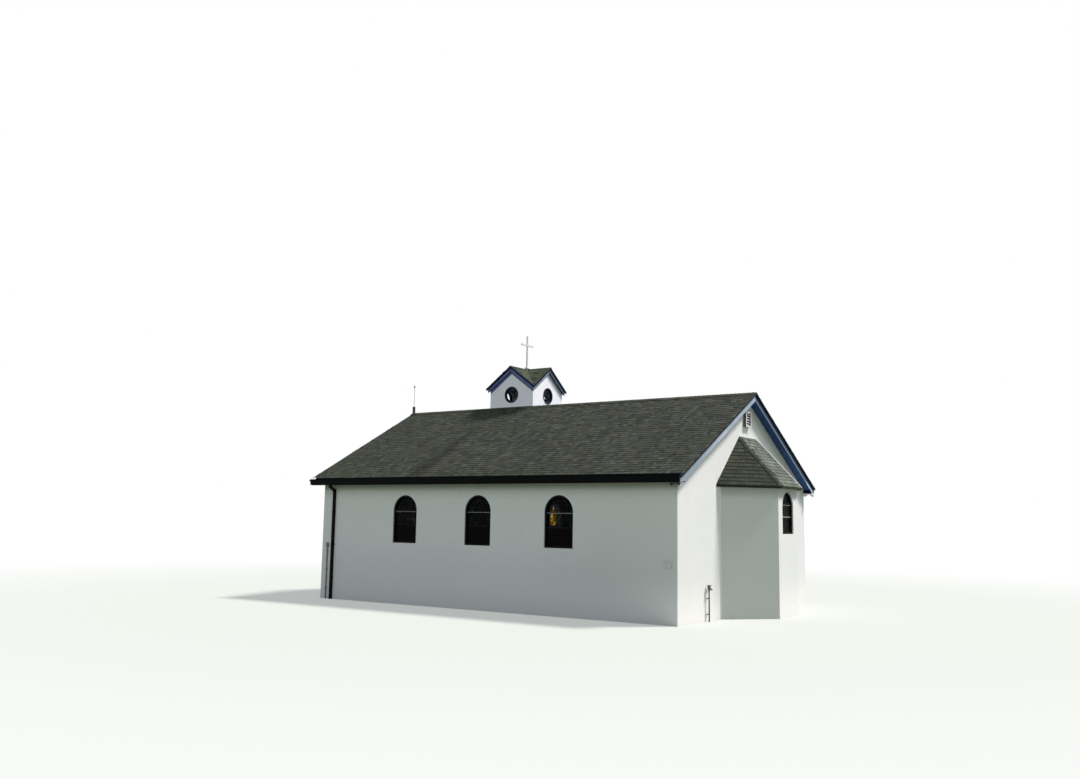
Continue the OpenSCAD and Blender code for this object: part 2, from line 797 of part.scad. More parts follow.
// Pair of floodlights on a box under a corner of the roof, turned down and away from each other
module floodlight_pair(x_out, y_dir) {
    y = y_dir * (half_w + eave_over * 0.7);
    plate = [180, 60, 26];
    neck_d = 44;
    neck_l = 50;
    lamp_d = 92;
    lamp_l = 60;
    translate([half_l + x_out, y, soffit_z]) union() {
        translate([-plate[0] / 2, -plate[1] / 2, -plate[2]]) cube(plate);
        for (side = [-1, 1])
            translate([side * 25, 0, -plate[2]]) rotate([0, side * 112, 0]) {
                cylinder(d = neck_d, h = neck_l, $fn = pipe_fn);
                translate([0, 0, neck_l]) cylinder(d1 = neck_d, d2 = lamp_d, h = lamp_l, $fn = pipe_fn);
            }
    }
}

module corner_floodlights() {
    color("dimgray") floodlight_pair(15, -1);
    color("white") floodlight_pair(115, 1);
}

nave_floor();
apse_floor();
near_wall();
far_wall();
door_wall_near();
door_wall_far();
door_gable();
apse_end_wall_near();
apse_end_wall_far();
apse_end_gable();
apse_near_wall();
apse_far_wall();
apse_front_wall();
near_roof_slope();
far_roof_slope();
ridge_cap();
near_eave_box();
far_eave_box();
apse_end_rake();
door_end_rake();
near_gutter();
far_gutter();
near_downspout();
far_downspout();
near_window_frames();
far_window_frames();
near_window_glass();
far_window_glass();
apse_roof();
apse_window_frame();
apse_window_glass();
door_frame();
door_leaf_near();
door_leaf_far();
cupola_walls();
cupola_roof();
cupola_barge_boards();
cupola_window_rims();
cupola_window_glass();
cross();
ridge_rod();
gable_vent();
standpipe();
wall_fittings();
corner_floodlights();
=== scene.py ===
import math
import bmesh
import bpy
import numpy as np
from mathutils import Matrix


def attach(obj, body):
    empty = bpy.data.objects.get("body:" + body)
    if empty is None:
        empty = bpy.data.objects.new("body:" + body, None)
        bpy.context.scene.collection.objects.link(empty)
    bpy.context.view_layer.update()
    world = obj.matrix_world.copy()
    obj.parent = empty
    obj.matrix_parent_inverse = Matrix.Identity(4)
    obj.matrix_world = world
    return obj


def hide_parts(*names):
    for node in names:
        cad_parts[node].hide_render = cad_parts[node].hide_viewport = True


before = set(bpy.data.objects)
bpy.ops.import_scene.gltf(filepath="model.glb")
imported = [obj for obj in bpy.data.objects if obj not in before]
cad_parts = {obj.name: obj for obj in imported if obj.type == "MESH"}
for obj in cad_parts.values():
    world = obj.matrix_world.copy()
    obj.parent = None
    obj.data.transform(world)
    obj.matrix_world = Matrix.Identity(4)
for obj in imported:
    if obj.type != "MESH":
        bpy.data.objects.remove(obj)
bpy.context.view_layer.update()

# Camera, daylight and floor. The camera stands at eye height off the corner between a long
# wall and the apse, looks a little upwards, and takes in the whole chapel. A soft sun comes from
# behind the apse end, and the pale floor runs out into a white surround.
def unit(vector):
    """The vector at length 1."""
    return np.asarray(vector, float) / np.linalg.norm(vector)


def set_up(made, x_way, y_way, z_way, place=(0.0, 0.0, 0.0)):
    """Links an object to the scene with its axes along three unit vectors, at a place."""
    placed = np.eye(4)
    placed[:3, :4] = np.column_stack([x_way, y_way, z_way, place])
    made.matrix_world = Matrix(placed.tolist())
    bpy.context.scene.collection.objects.link(made)


lens_px, frame_px = 1006.74, 1080.0
yaw, pitch, roll = 0.6007, 0.1292, 0.0164
ahead = np.array([-math.sin(yaw) * math.cos(pitch), math.cos(yaw) * math.cos(pitch), math.sin(pitch)])
level = np.array([math.cos(yaw), math.sin(yaw), 0.0])
above = np.cross(level, ahead)
right = math.cos(roll) * level + math.sin(roll) * above
up = math.cos(roll) * above - math.sin(roll) * level

camera = bpy.data.objects.new("camera", bpy.data.cameras.new("camera"))
camera.data.sensor_fit = "HORIZONTAL"
camera.data.sensor_width = 36.0
camera.data.lens = camera.data.sensor_width * lens_px / frame_px
camera.data.clip_end = 300.0
set_up(camera, right, up, -ahead, (15.767, -24.405, 2.266))
bpy.context.scene.camera = camera
bpy.context.scene.view_settings.view_transform = "Standard"

to_sun = unit([1.0, 1.05, 2.16])
across_sun = unit(np.cross([0.0, 0.0, 1.0], to_sun))
sun = bpy.data.objects.new("sun", bpy.data.lights.new("sun", "SUN"))
sun.data.energy = 4.93
sun.data.color = (1.0, 0.945, 0.925)
sun.data.angle = math.radians(10.0)
set_up(sun, across_sun, np.cross(to_sun, across_sun), to_sun)


class Wire:
    """The output of a shader node. Sums and comparisons of wires and numbers turn into Math nodes."""

    def __init__(self, socket):
        self.socket, self.tree = socket, socket.id_data

    def math(self, operation, other=0.5, swapped=False, clamp=False):
        """One Math node on this wire and another wire or number, which comes first if swapped."""
        first, second = (other, self) if swapped else (self, other)
        return shade(self.tree, "Math", {0: first, 1: second}, operation=operation, use_clamp=clamp)[0]

    def __add__(self, other):
        return self.math("ADD", other)

    def __sub__(self, other):
        return self.math("SUBTRACT", other)

    def __rsub__(self, other):
        return self.math("SUBTRACT", other, swapped=True)

    def __mul__(self, other):
        return self.math("MULTIPLY", other)

    def __truediv__(self, other):
        return self.math("DIVIDE", other)

    def __gt__(self, other):
        return self.math("GREATER_THAN", other)

    def __lt__(self, other):
        return self.math("LESS_THAN", other)

    def __abs__(self):
        return self.math("ABSOLUTE")


def plug(socket, value):
    """Links an input to a wire, or sets it to a number, a vector or a colour."""
    if isinstance(value, Wire):
        value.tree.links.new(value.socket, socket)
    else:
        socket.default_value = (*value, 1.0) if socket.type == "RGBA" and len(value) == 3 else value


def wires(node):
    """The outputs of a node as wires, by number and by name."""
    return {key: Wire(socket) for number, socket in enumerate(node.outputs) for key in (number, socket.name)}


def shade(tree, kind, inputs=None, **settings):
    """The outputs of a new shader node that has these settings and inputs."""
    made = tree.nodes.new("ShaderNode" + kind)
    for name, value in settings.items():
        setattr(made, name, value)
    for name, value in (inputs or {}).items():
        plug(made.inputs[name], value)
    return wires(made)


def ramp(value, low, high, to_low=0.0, to_high=1.0):
    """Goes smoothly from to_low to to_high while value goes from low to high."""
    inputs = {"Value": value, "From Min": low, "From Max": high, "To Min": to_low, "To Max": to_high}
    return shade(value.tree, "MapRange", inputs, interpolation_type="SMOOTHSTEP")["Result"]


def seen_directly(tree):
    """1 for rays that the camera, a gloss or a pane of glass sends out, 0 for other light."""
    rays = shade(tree, "LightPath")
    seen = rays["Is Camera Ray"].math("MAXIMUM", rays["Is Glossy Ray"])
    return seen.math("MAXIMUM", rays["Is Transmission Ray"])


WHITE = (1.0, 1.0, 1.0)
world = bpy.data.worlds.new("pale_surround")
bpy.context.scene.world = world
world.use_nodes = True
tree = world.node_tree
tree.nodes.clear()
sky_light = shade(tree, "Background", {"Color": (0.90, 1.0, 1.09), "Strength": 0.43})
sky_seen = shade(tree, "Background", {"Color": WHITE, "Strength": 1.0})
sky_mix = shade(tree, "MixShader", {0: seen_directly(tree), 1: sky_light[0], 2: sky_seen[0]})
shade(tree, "OutputWorld", {0: sky_mix[0]})

floor_half = 90.0
floor_mesh = bpy.data.meshes.new("floor")
floor_corners = [(x * floor_half, y * floor_half, -0.001) for x, y in ((-1, -1), (1, -1), (1, 1), (-1, 1))]
floor_mesh.from_pydata(floor_corners, [], [(0, 1, 2, 3)])
floor = bpy.data.objects.new("floor", floor_mesh)
bpy.context.scene.collection.objects.link(floor)
floor_finish = bpy.data.materials.new("pale_floor")
floor_finish.use_nodes = True
tree = floor_finish.node_tree
tree.nodes.clear()
spread = shade(tree, "VectorMath", {0: shade(tree, "TexCoord")["Object"]}, operation="LENGTH")["Value"]
lit = shade(tree, "BsdfDiffuse", {"Color": (0.32, 0.34, 0.31)})
lift = shade(tree, "Emission", {"Color": (0.98, 1.0, 0.98), "Strength": 0.36})
seen_floor = shade(tree, "AddShader", {0: lit[0], 1: lift[0]})
white = shade(tree, "Emission", {"Color": WHITE, "Strength": 1.0})
faded = shade(tree, "MixShader", {0: ramp(spread, 11.0, 30.0), 1: seen_floor[0], 2: white[0]})
floor_mix = shade(tree, "MixShader", {0: seen_directly(tree), 1: lit[0], 2: faded[0]})
shade(tree, "OutputMaterial", {0: floor_mix[0]})
floor.data.materials.append(floor_finish)


# Walls of the long room and of the apse: hollow blocks under a painted sand stucco. The paint
# is off-white outside, green with mildew and darker with painted shade under the eaves, and a dim brownish cream
# inside.
def split(vector):
    """The x, y and z of a vector wire."""
    parts = shade(vector.tree, "SeparateXYZ", {0: vector})
    return parts["X"], parts["Y"], parts["Z"]


def blend(factor, first, second):
    """Colour between two colours or wires."""
    return shade(factor.tree, "Mix", {"Factor": factor, 6: first, 7: second}, data_type="RGBA")[2]


def layered(colour, *layers):
    """A colour with (mask, colour) layers over it, one after another."""
    for mask, over in layers:
        colour = blend(mask, colour, over)
    return colour


def noise(where, scale, detail=3.0, rough=0.5, stretch=None):
    """Cloudy value round 0.5 at so many patches a metre, stretched along the axes if asked."""
    if stretch:
        where = shade(where.tree, "Mapping", {"Vector": where, "Scale": stretch})[0]
    inputs = {"Vector": where, "Scale": scale, "Detail": detail, "Roughness": rough}
    return shade(where.tree, "TexNoise", inputs)["Fac"]


def effect(name, inputs, outputs):
    """Node group for a shared effect: the group, its inputs as wires and the sockets of its outputs."""
    group = bpy.data.node_groups.new(name, "ShaderNodeTree")
    kinds = {1: "NodeSocketFloat", 3: "NodeSocketVector", 4: "NodeSocketColor"}
    for label, value in inputs.items():
        kind = kinds[np.size(value)]
        group.interface.new_socket(name=label, in_out="INPUT", socket_type=kind).default_value = value
    for label in outputs:
        kind = kinds[4 if label == "Colour" else 1]
        group.interface.new_socket(name=label, in_out="OUTPUT", socket_type=kind)
    return group, wires(group.nodes.new("NodeGroupInput")), group.nodes.new("NodeGroupOutput").inputs


def use(group, first, **values):
    """Places an effect group with its first input and the named ones, and gives its outputs."""
    inputs = {0: first, **{name.replace("_", " "): value for name, value in values.items()}}
    return shade(first.tree, "Group", inputs, node_tree=group)


def finish(name, colour, roughness, gloss=0.5, **fixed):
    """New material with a Principled shader: the material, its shader and its Object coordinates."""
    material = bpy.data.materials.new(name)
    material.use_nodes = True
    shader = material.node_tree.nodes["Principled BSDF"]
    inputs = {"Base Color": colour, "Roughness": roughness, "Specular IOR Level": gloss, **fixed}
    for label, value in inputs.items():
        plug(shader.inputs[label.replace("_", " ")], value)
    return material, shader, shade(material.node_tree, "TexCoord")["Object"]


def surface(shader, colour, height, relief):
    """Feeds the shader a colour, and a height of 0 to 1 as a relief of that many metres."""
    plug(shader.inputs["Base Color"], colour)
    bump = shade(height.tree, "Bump", {"Height": height, "Distance": relief, "Strength": 1.0})
    plug(shader.inputs["Normal"], bump[0])


def one_less(value):
    """1 less the value, held between 0 and 1."""
    return value.math("SUBTRACT", 1.0, swapped=True, clamp=True)


# Rain and splash: streaks that run down from a height, and a dirty band above the floor
ORIGIN = (0.0, 0.0, 0.0)
rain_and_splash, asked, given = effect("rain_and_splash", {"Where": ORIGIN, "Top": 3.2, "Run": 1.6, "Splash": 0.5},
                                       ["Streaks", "Foot"])
height_up = split(asked["Where"])[2]
fine = noise(asked["Where"], 5.0, 4.0, 0.6, (1.0, 1.0, 0.06))
wide = noise(asked["Where"], 1.1, 2.0, 0.5, (1.0, 1.0, 0.15))
threads = ramp(fine * 0.6 + wide * 0.4, 0.50, 0.66)
plug(given["Streaks"], threads * one_less((asked["Top"] - height_up) / asked["Run"]))
ragged = noise(asked["Where"], 7.0, 5.0, 0.65)
plug(given["Foot"], ramp(one_less(height_up / asked["Splash"]) * 0.75 + ragged, 0.72, 1.15))

# Fine grain: sand or dust of a given size, as a height round 0.5 and a speckle mask
fine_grain, asked, given = effect("fine_grain", {"Where": ORIGIN, "Grains a metre": 250.0}, ["Height", "Speckle"])
grains = noise(asked["Where"], asked["Grains a metre"], 2.0)
plug(given["Height"], grains)
plug(given["Speckle"], ramp(grains, 0.42, 0.62))

# Stucco: rained on outside, green near the eaves and under the gable edges, brown in both rooms, with painted shade
# and light where marked
ridge_z, slope, half_long = 5.61704, math.tan(math.radians(28.2)), 5.57
stucco, shader, where = finish("painted_stucco", (0.75, 0.76, 0.735), 0.88, gloss=0.25)
weather = use(rain_and_splash, where, Top=3.25, Run=1.9, Splash=0.22)
grain = use(fine_grain, where, Grains_a_metre=170.0)
flake = ramp(noise(where, 9.0, 6.0, 0.7) + weather["Foot"] * 0.10, 0.755, 0.785)
x, y, z = split(where)
sideways = abs(y)
ragged_z = z + ramp(noise(where, 4.0, 3.0, 0.5), 0.3, 0.7, -0.008, 0.008)
long_walls = sideways > 4.0
apse_walls = x > 5.60
under_rake = (ridge_z - sideways * slope) - ragged_z
room_x, room_y, apse_x0, apse_x1, apse_top = 5.352, 3.957, 5.34, 6.53, 3.19
cant_x, cant_y, cant_reach = 0.7458, 0.6662, 5.163
canted = x * cant_x + sideways * cant_y
in_room = (abs(x) < room_x) * (sideways < room_y)
in_apse = (x > apse_x0) * (canted < cant_reach) * ((x < apse_x1) * (z < apse_top))
colour = layered(
    blend(ramp(noise(where, 0.9, 4.0, 0.55), 0.3, 0.7), (0.735, 0.752, 0.735), (0.765, 0.772, 0.752)),
    (ramp(noise(where, 2.6, 5.0, 0.6), 0.52, 0.72) * 0.25, (0.69, 0.71, 0.695)),
    (weather["Streaks"] * 0.12, (0.55, 0.58, 0.53)),
    (weather["Foot"] * 0.22, (0.50, 0.50, 0.45)),
    (flake * 0.7, (0.42, 0.41, 0.38)),
    # Darker towards the apse end of the long walls: painted shade
    (ramp(x, 1.0, 5.2, 0.0, 0.9) * long_walls, (0.645, 0.660, 0.635)),
    # Lighter towards the floor: painted light, as from the ground below
    (ramp(z, 1.2, 0.1, 0.0, 0.85), (0.89, 0.885, 0.85)),
    # Greener and darker from window height up the long walls: mildew, and nearest the eave boxes also painted shade
    (ramp(ragged_z, 1.5, 2.9, 0.0, 0.7) * long_walls, (0.675, 0.725, 0.665)),
    (ramp(ragged_z, 2.74, 3.12, 0.0, 0.75) * long_walls, (0.47, 0.52, 0.43)),
    (ramp(ragged_z, 2.95, 3.14, 0.0, 0.95) * long_walls, (0.245, 0.28, 0.205)),
    # The near canted apse wall is darker: painted shade
    (apse_walls * (y < -0.64) * 0.9, (0.585, 0.62, 0.575)),
    # Darker band under the apse eave: painted shadow of the eave, and mildew
    (ramp(ragged_z, 2.84, 3.04, 0.0, 0.85) * apse_walls, (0.42, 0.455, 0.39)),
    # Darker green under the far half of each gable edge: painted shade, and mildew
    (ramp(under_rake, 0.72, 0.30, 0.0, 0.8) * (abs(x) > 5.56) * ramp(y, -0.4, 0.5), (0.34, 0.38, 0.31)),
    (in_room.math("MAXIMUM", in_apse), (0.27, 0.235, 0.19)))
laid = shade(where.tree, "CombineXYZ", {"X": x + y, "Y": z})[0]
joints = shade(where.tree, "TexBrick", {"Vector": laid, "Scale": 1.0, "Mortar Size": 0.006, "Mortar Smooth": 1.0,
                                        "Brick Width": 0.4, "Row Height": 0.2})["Fac"]
surface(shader, colour, grain["Height"] * 0.35 + noise(where, 14.0, 3.0) * 0.55 - flake * 0.25 - joints * 0.07, 0.005)


def dress(material, *nodes):
    """Gives CAD nodes, which stay as they are, a better material in all their slots."""
    for node in nodes:
        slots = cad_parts[node].data.materials
        if not len(slots):
            slots.append(material)
        for place in range(len(slots)):
            slots[place] = material


dress(stucco, "near_wall", "far_wall", "door_wall_near", "door_wall_far", "door_gable", "apse_end_wall_near",
      "apse_end_wall_far", "apse_end_gable", "apse_near_wall", "apse_far_wall", "apse_front_wall")


# Floors: a trowelled concrete slab in the room and one in the apse, worn smooth, with dark
# blotches and a fine sandy face.
concrete, shader, where = finish("trowelled_concrete", (0.40, 0.39, 0.37), 0.72)
grain = use(fine_grain, where, Grains_a_metre=320.0)
blotch = noise(where, 1.6, 5.0, 0.6)
colour = blend(ramp(blotch, 0.35, 0.68), (0.33, 0.325, 0.31), (0.46, 0.45, 0.42))
colour = blend(grain["Speckle"] * 0.25, colour, (0.28, 0.27, 0.26))
plug(shader.inputs["Roughness"], ramp(blotch, 0.3, 0.7, 0.55, 0.82))
surface(shader, colour, grain["Height"] * 0.3 + blotch * 0.7, 0.003)
dress(concrete, "nave_floor", "apse_floor")


# Main roof: two slopes of mineral-faced shingles in 127 mm courses over boards, with a black
# metal edge. Each shingle is a thin wedge that lies on the course below, and no two are quite one colour.
def piece(name, shape, material, weld=True, smooth=False):
    """Object at the origin from (points, faces) or (points, faces, tints), fitted to the building.

    Points are an (n, 3) array, faces lists of corner numbers, and tints one colour a point. A tinted shape
    is never welded. The piece rides on the building and has the given material.
    """
    points, faces, *tints = shape
    mesh = bpy.data.meshes.new(name)
    mesh.from_pydata(np.asarray(points, float).tolist(), [], faces)
    if tints:
        layer = mesh.color_attributes.new("tint", "FLOAT_COLOR", "POINT")
        layer.data.foreach_set("color", np.column_stack([tints[0], np.ones(len(points))]).ravel())
    elif weld:
        joined = bmesh.new()
        joined.from_mesh(mesh)
        bmesh.ops.remove_doubles(joined, verts=joined.verts, dist=1e-6)
        bmesh.ops.recalc_face_normals(joined, faces=joined.faces)
        joined.to_mesh(mesh)
        joined.free()
    mesh.polygons.foreach_set("use_smooth", np.full(len(mesh.polygons), smooth))
    mesh.materials.append(material)
    mesh.update()
    made = bpy.data.objects.new(name, mesh)
    bpy.context.scene.collection.objects.link(made)
    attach(made, "root")
    return made


def together(*shapes):
    """Several shapes as one, with the corner numbers moved up."""
    starts = np.cumsum([0] + [len(shape[0]) for shape in shapes]).tolist()
    faces = [[corner + start for corner in face] for shape, start in zip(shapes, starts) for face in shape[1]]
    tints = [np.concatenate([shape[2] for shape in shapes])] if len(shapes[0]) > 2 else []
    return np.concatenate([shape[0] for shape in shapes]), faces, *tints


def mirrored_y(points):
    """The same points on the other side of the ridge."""
    return np.asarray(points, float) * [1.0, -1.0, 1.0]


SHINGLE_TONES = np.array([[0.020, 0.024, 0.018], [0.031, 0.036, 0.028], [0.041, 0.046, 0.037],
                          [0.057, 0.062, 0.050], [0.043, 0.039, 0.030], [0.030, 0.042, 0.024]])
TONE_SHARES = [0.20, 0.26, 0.24, 0.14, 0.08, 0.08]
WEDGE_FACES = np.array([[0, 1, 4, 3], [1, 2, 5, 4], [6, 9, 10, 7], [7, 10, 11, 8], [0, 6, 7, 1], [1, 7, 8, 2],
                        [3, 4, 10, 9], [4, 5, 11, 10], [0, 3, 9, 6], [2, 8, 11, 5]])


def wedge_faces(count):
    """Corner numbers for so many wedges of twelve points."""
    return (WEDGE_FACES[None] + 12 * np.arange(count)[:, None, None]).reshape(-1, 4)


def shingles(top_left, top_right, low_left, low_right, seed, course=0.127, tab=0.115, butt=0.008, shade_and_soil=0.45,
             tones=SHINGLE_TONES):
    """Shingle wedges on a flat roof face with four corners, left and right as seen from outside.

    Courses are counted up from the eave. Along a course the joints are sums of random widths, cut off
    at the two side edges of the face, which are straight lines between their corners. Each shingle has
    three rows of points, and its colour at the top row, under the butt of the course above, is shade_and_soil
    times its own: painted shade and dirt.
    """
    corners = np.array([top_left, top_right, low_left, low_right], float)
    top_left, top_right, low_left, low_right = corners
    along = unit(max(top_right - top_left, low_right - low_left, key=np.linalg.norm))
    down = (low_left + low_right) / 2 - (top_left + top_right) / 2
    down = unit(down - along * np.dot(down, along))
    out = -np.cross(along, down)
    reach = np.dot(low_left - top_left, down)
    sides = ((top_left, low_left), (top_right, low_right))
    ends = np.array([[np.dot(p - top_left, along) for p in side] for side in sides])
    rows = int(math.ceil(reach / course))
    v1 = reach - course * np.arange(rows)
    v0 = np.maximum(v1 - course, 0.0)
    vm = v0 + 0.34 * (v1 - v0)
    chance = np.random.default_rng(seed)
    count = int(np.ptp(ends) / (tab * 0.75)) + 4
    joints = ends.min() - tab * chance.random((rows, 1))
    joints = joints + np.cumsum(tab * (0.5 + chance.random((rows, count))), axis=1)
    joint_gap = 0.006
    starts, stops = joints[:, :-1], joints[:, 1:] - joint_gap
    limits = [(ends[:, :1] + (ends[:, 1:] - ends[:, :1]) * v / reach)[..., None] for v in (v0, vm, v1)]
    u = np.stack([np.clip(edge, *limit) for edge in (starts, stops) for limit in limits] * 2, axis=-1)
    keep = (u[..., 5] - u[..., 2]) + (u[..., 3] - u[..., 0]) > 2 * joint_gap
    doubled = chance.random(keep.shape) < 0.42
    rise = butt * (0.75 + 0.55 * doubled + 0.15 * chance.random(keep.shape))
    under = np.full(keep.shape, -0.002)
    thin = under + 0.004
    middle = thin + 0.34 * (rise - thin)
    v = np.stack([np.broadcast_to(v[:, None], keep.shape) for v in (v0, vm, v1)] * 4, axis=-1)
    h = np.stack([thin, middle, rise] * 2 + [under] * 6, axis=-1)
    points = top_left + u[keep][..., None] * along + v[keep][..., None] * down + h[keep][..., None] * out
    tone = tones[chance.choice(6, len(points), p=TONE_SHARES)]
    tone = tone * (0.88 + 0.24 * chance.random((len(points), 1))) * np.where(doubled[keep], 1.05, 0.95)[:, None]
    # The top row of each shingle, under the butt above, is darker: painted shade and dirt
    tints = tone[:, None, :] * np.tile([shade_and_soil, 1.0, 1.0], 4)[None, :, None]
    return points.reshape(-1, 3), wedge_faces(len(points)).tolist(), tints.reshape(-1, 3)


def caps(start, end, side_a, side_b, wide_a, wide_b, seed, lap=0.127, base=0.010, butt=0.008, tones=SHINGLE_TONES,
         edge=1.0):
    """Cap shingles bent over the edge from start to end.

    Each is a folded wedge whose thick end comes first, wide_a down one side and wide_b down the other,
    and its colour at its sides is edge times its own: painted shade and dirt where edge is below 1.
    """
    start, end = np.asarray(start, float), np.asarray(end, float)
    length = np.linalg.norm(end - start)
    run = unit(end - start)
    side_a, side_b = unit(side_a), unit(side_b)
    out = -unit(side_a + side_b)
    count = int(math.ceil(length / lap))
    s0 = np.linspace(0.0, length, count + 1)[:-1]
    s1 = s0 + length / count
    wide_a, wide_b = np.broadcast_to(wide_a, count)[:, None], np.broadcast_to(wide_b, count)[:, None]
    chance = np.random.default_rng(seed)
    thick = base + butt * (0.8 + 0.4 * chance.random(count))
    under = np.full(count, base - 0.014)
    rows = []
    for s, h in ((s0, thick), (s1, np.full(count, base)), (s0, under), (s1, under)):
        middle = start + s[:, None] * run + h[:, None] * out
        rows.append(np.stack([middle + wide_a * side_a, middle, middle + wide_b * side_b], axis=1))
    tone = tones[chance.choice(len(tones), count)] * (0.85 + 0.3 * chance.random((count, 1)))
    faces = wedge_faces(count)
    if np.dot(np.cross(side_b - side_a, run), out) < 0.0:
        faces = faces[:, ::-1]
    tints = tone[:, None, :] * np.tile([edge, 1.0, edge], 4)[None, :, None]
    return np.concatenate(rows, axis=1).reshape(-1, 3), faces.tolist(), tints.reshape(-1, 3)


def scaled(colour, factor):
    """A colour made brighter or darker by a factor."""
    return shade(factor.tree, "VectorMath", {0: colour, "Scale": factor}, operation="SCALE")[0]


# Mineral granules: fine light and dark grains on a tint, lichen and moss in broad patches
mineral_granules, asked, given = effect(
    "mineral_granules",
    {"Where": ORIGIN, "Tint": (0.06, 0.06, 0.05, 1.0), "Moss": 0.2, "Moss colour": (0.075, 0.09, 0.045, 1.0)},
    ["Colour", "Height"])
granule = noise(asked["Where"], 420.0, 2.0, 0.7)
blotches = noise(asked["Where"], 22.0, 4.0, 0.6)
broad = noise(asked["Where"], 1.3, 4.0, 0.62)
bright = ramp(granule, 0.3, 0.7, 0.66, 1.34) + ramp(blotches, 0.3, 0.7, -0.15, 0.15)
bright = bright + ramp(broad, 0.3, 0.7, -0.06, 0.06)
growth = ramp(noise(asked["Where"], 3.1, 6.0, 0.7) * 0.7 + blotches * 0.3, 0.46, 0.66)
plug(given["Colour"], blend(growth * asked["Moss"], scaled(asked["Tint"], bright), asked["Moss colour"]))
plug(given["Height"], granule)


def shingle_finish(name, moss, moss_colour, washed=False):
    """Shingle material that tints each shingle by its own colour and adds granules and moss.

    The washed one has a dark stain down the near slope from the foot of the cupola, 0.2 m wide at its top and
    0.5 m wide at the eave, with wandering edges, a paler reddish streak beside its lower half, and a green
    cast towards the door end.
    """
    material, shader, where = finish(name, (0.06, 0.065, 0.055), 0.93, gloss=0.2)
    tint = shade(where.tree, "Attribute", attribute_name="tint")["Color"]
    cover = use(mineral_granules, where, Tint=tint, Moss=moss, Moss_colour=moss_colour)
    colour = cover["Colour"]
    if washed:
        x, y, _ = split(where)
        half = shade(where.tree, "MapRange", {"Value": y, "From Min": -1.3, "From Max": -3.9,
                                              "To Min": 0.07, "To Max": 0.24})["Result"]
        across = x + ramp(noise(where, 1.7, 4.0, 0.6), 0.3, 0.7, -0.09, 0.09)
        stain_x, stain_lean, streak_x = 2.364, 0.0755, 1.76
        off = abs(across + stain_x + y * stain_lean)
        stain = ramp(off - half, -0.10, 0.16, 1.0, 0.0) * ramp(y, -0.9, -2.0)
        streak = ramp(abs(across + streak_x), 0.30, 0.05) * ramp(y, -2.2, -3.4, 0.0, 0.5)
        green = ramp(x, -1.5, -4.5, 0.0, 0.25)
        colour = layered(colour, (streak, (0.062, 0.054, 0.045)), (green, (0.026, 0.036, 0.016)))
        colour = scaled(colour, 1.0 - stain * 0.52)
    surface(shader, colour, cover["Height"], 0.0012)
    return material


def plain_granules(name, colour, roughness, gloss, moss, tint):
    """The same mineral face in one tint, for sheet and edges that carry no tint of their own."""
    material, shader, where = finish(name, colour, roughness, gloss)
    cover = use(mineral_granules, where, Moss=moss, Tint=tint)
    surface(shader, cover["Colour"], cover["Height"], 0.001)
    return material


roof_shingle = shingle_finish("roof_shingle", 0.12, (0.036, 0.044, 0.026), washed=True)
roof_x0, roof_x1, eave_y, rake_y = -5.915, 5.825, 4.225, 4.32
barge_x0, barge_x1 = -5.851, 5.761
lip_y = eave_y + 0.002
eave_z, lip_z, end_z = (ridge_z - slope * y for y in (eave_y, lip_y, rake_y))
near_courses = shingles((roof_x0, 0, ridge_z), (roof_x1, 0, ridge_z),
                        (roof_x0, -eave_y, eave_z), (roof_x1, -eave_y, eave_z), 3, shade_and_soil=0.9)
far_courses = shingles((roof_x1, 0, ridge_z), (roof_x0, 0, ridge_z),
                       (roof_x1, eave_y, eave_z), (roof_x0, eave_y, eave_z), 4, shade_and_soil=0.9)
foot_y = 0.001 - rake_y
gable_feet = [shingles((a, -lip_y, lip_z), (b, -lip_y, lip_z), (a, foot_y, end_z), (b, foot_y, end_z), 5)
              for a, b in ((roof_x0, barge_x0), (barge_x1, roof_x1))]
far_feet = [(mirrored_y(points), [face[::-1] for face in faces], tints) for points, faces, tints in gable_feet]
piece("near_roof_shingles", together(near_courses, *gable_feet), roof_shingle)
piece("far_roof_shingles", together(far_courses, *far_feet), roof_shingle)

# Roof corner: a small cap of folded pale sheet over the near corner of the door end
pale_sheet, shader, where = finish("pale_sheet", (0.62, 0.60, 0.60), 0.45, gloss=0.4)
speckle = use(fine_grain, where, Grains_a_metre=90.0)["Speckle"]
plug(shader.inputs["Base Color"], blend(speckle, (0.66, 0.63, 0.64), (0.54, 0.53, 0.54)))
down_near, down_far = unit([0.0, -1.0, -slope]), unit([0.0, 1.0, -slope])
cap_corner = np.array([roof_x0 + 0.002, -rake_y + 0.002, end_z + 0.016])
cap_outline = np.array([[0.0, 0.0], [0.24, 0.0], [0.17, -0.11], [0.0, -0.15]])
cap_under = cap_corner + cap_outline[:, :1] * np.array([1.0, 0.0, 0.0]) + cap_outline[:, 1:] * down_near
cap_faces = [[0, 1, 2, 3], [7, 6, 5, 4], [0, 4, 5, 1], [1, 5, 6, 2], [2, 6, 7, 3], [3, 7, 4, 0]]
piece("roof_corner_cap", (np.vstack([cap_under + [0.0, 0.0, 0.002], cap_under]), cap_faces), pale_sheet)

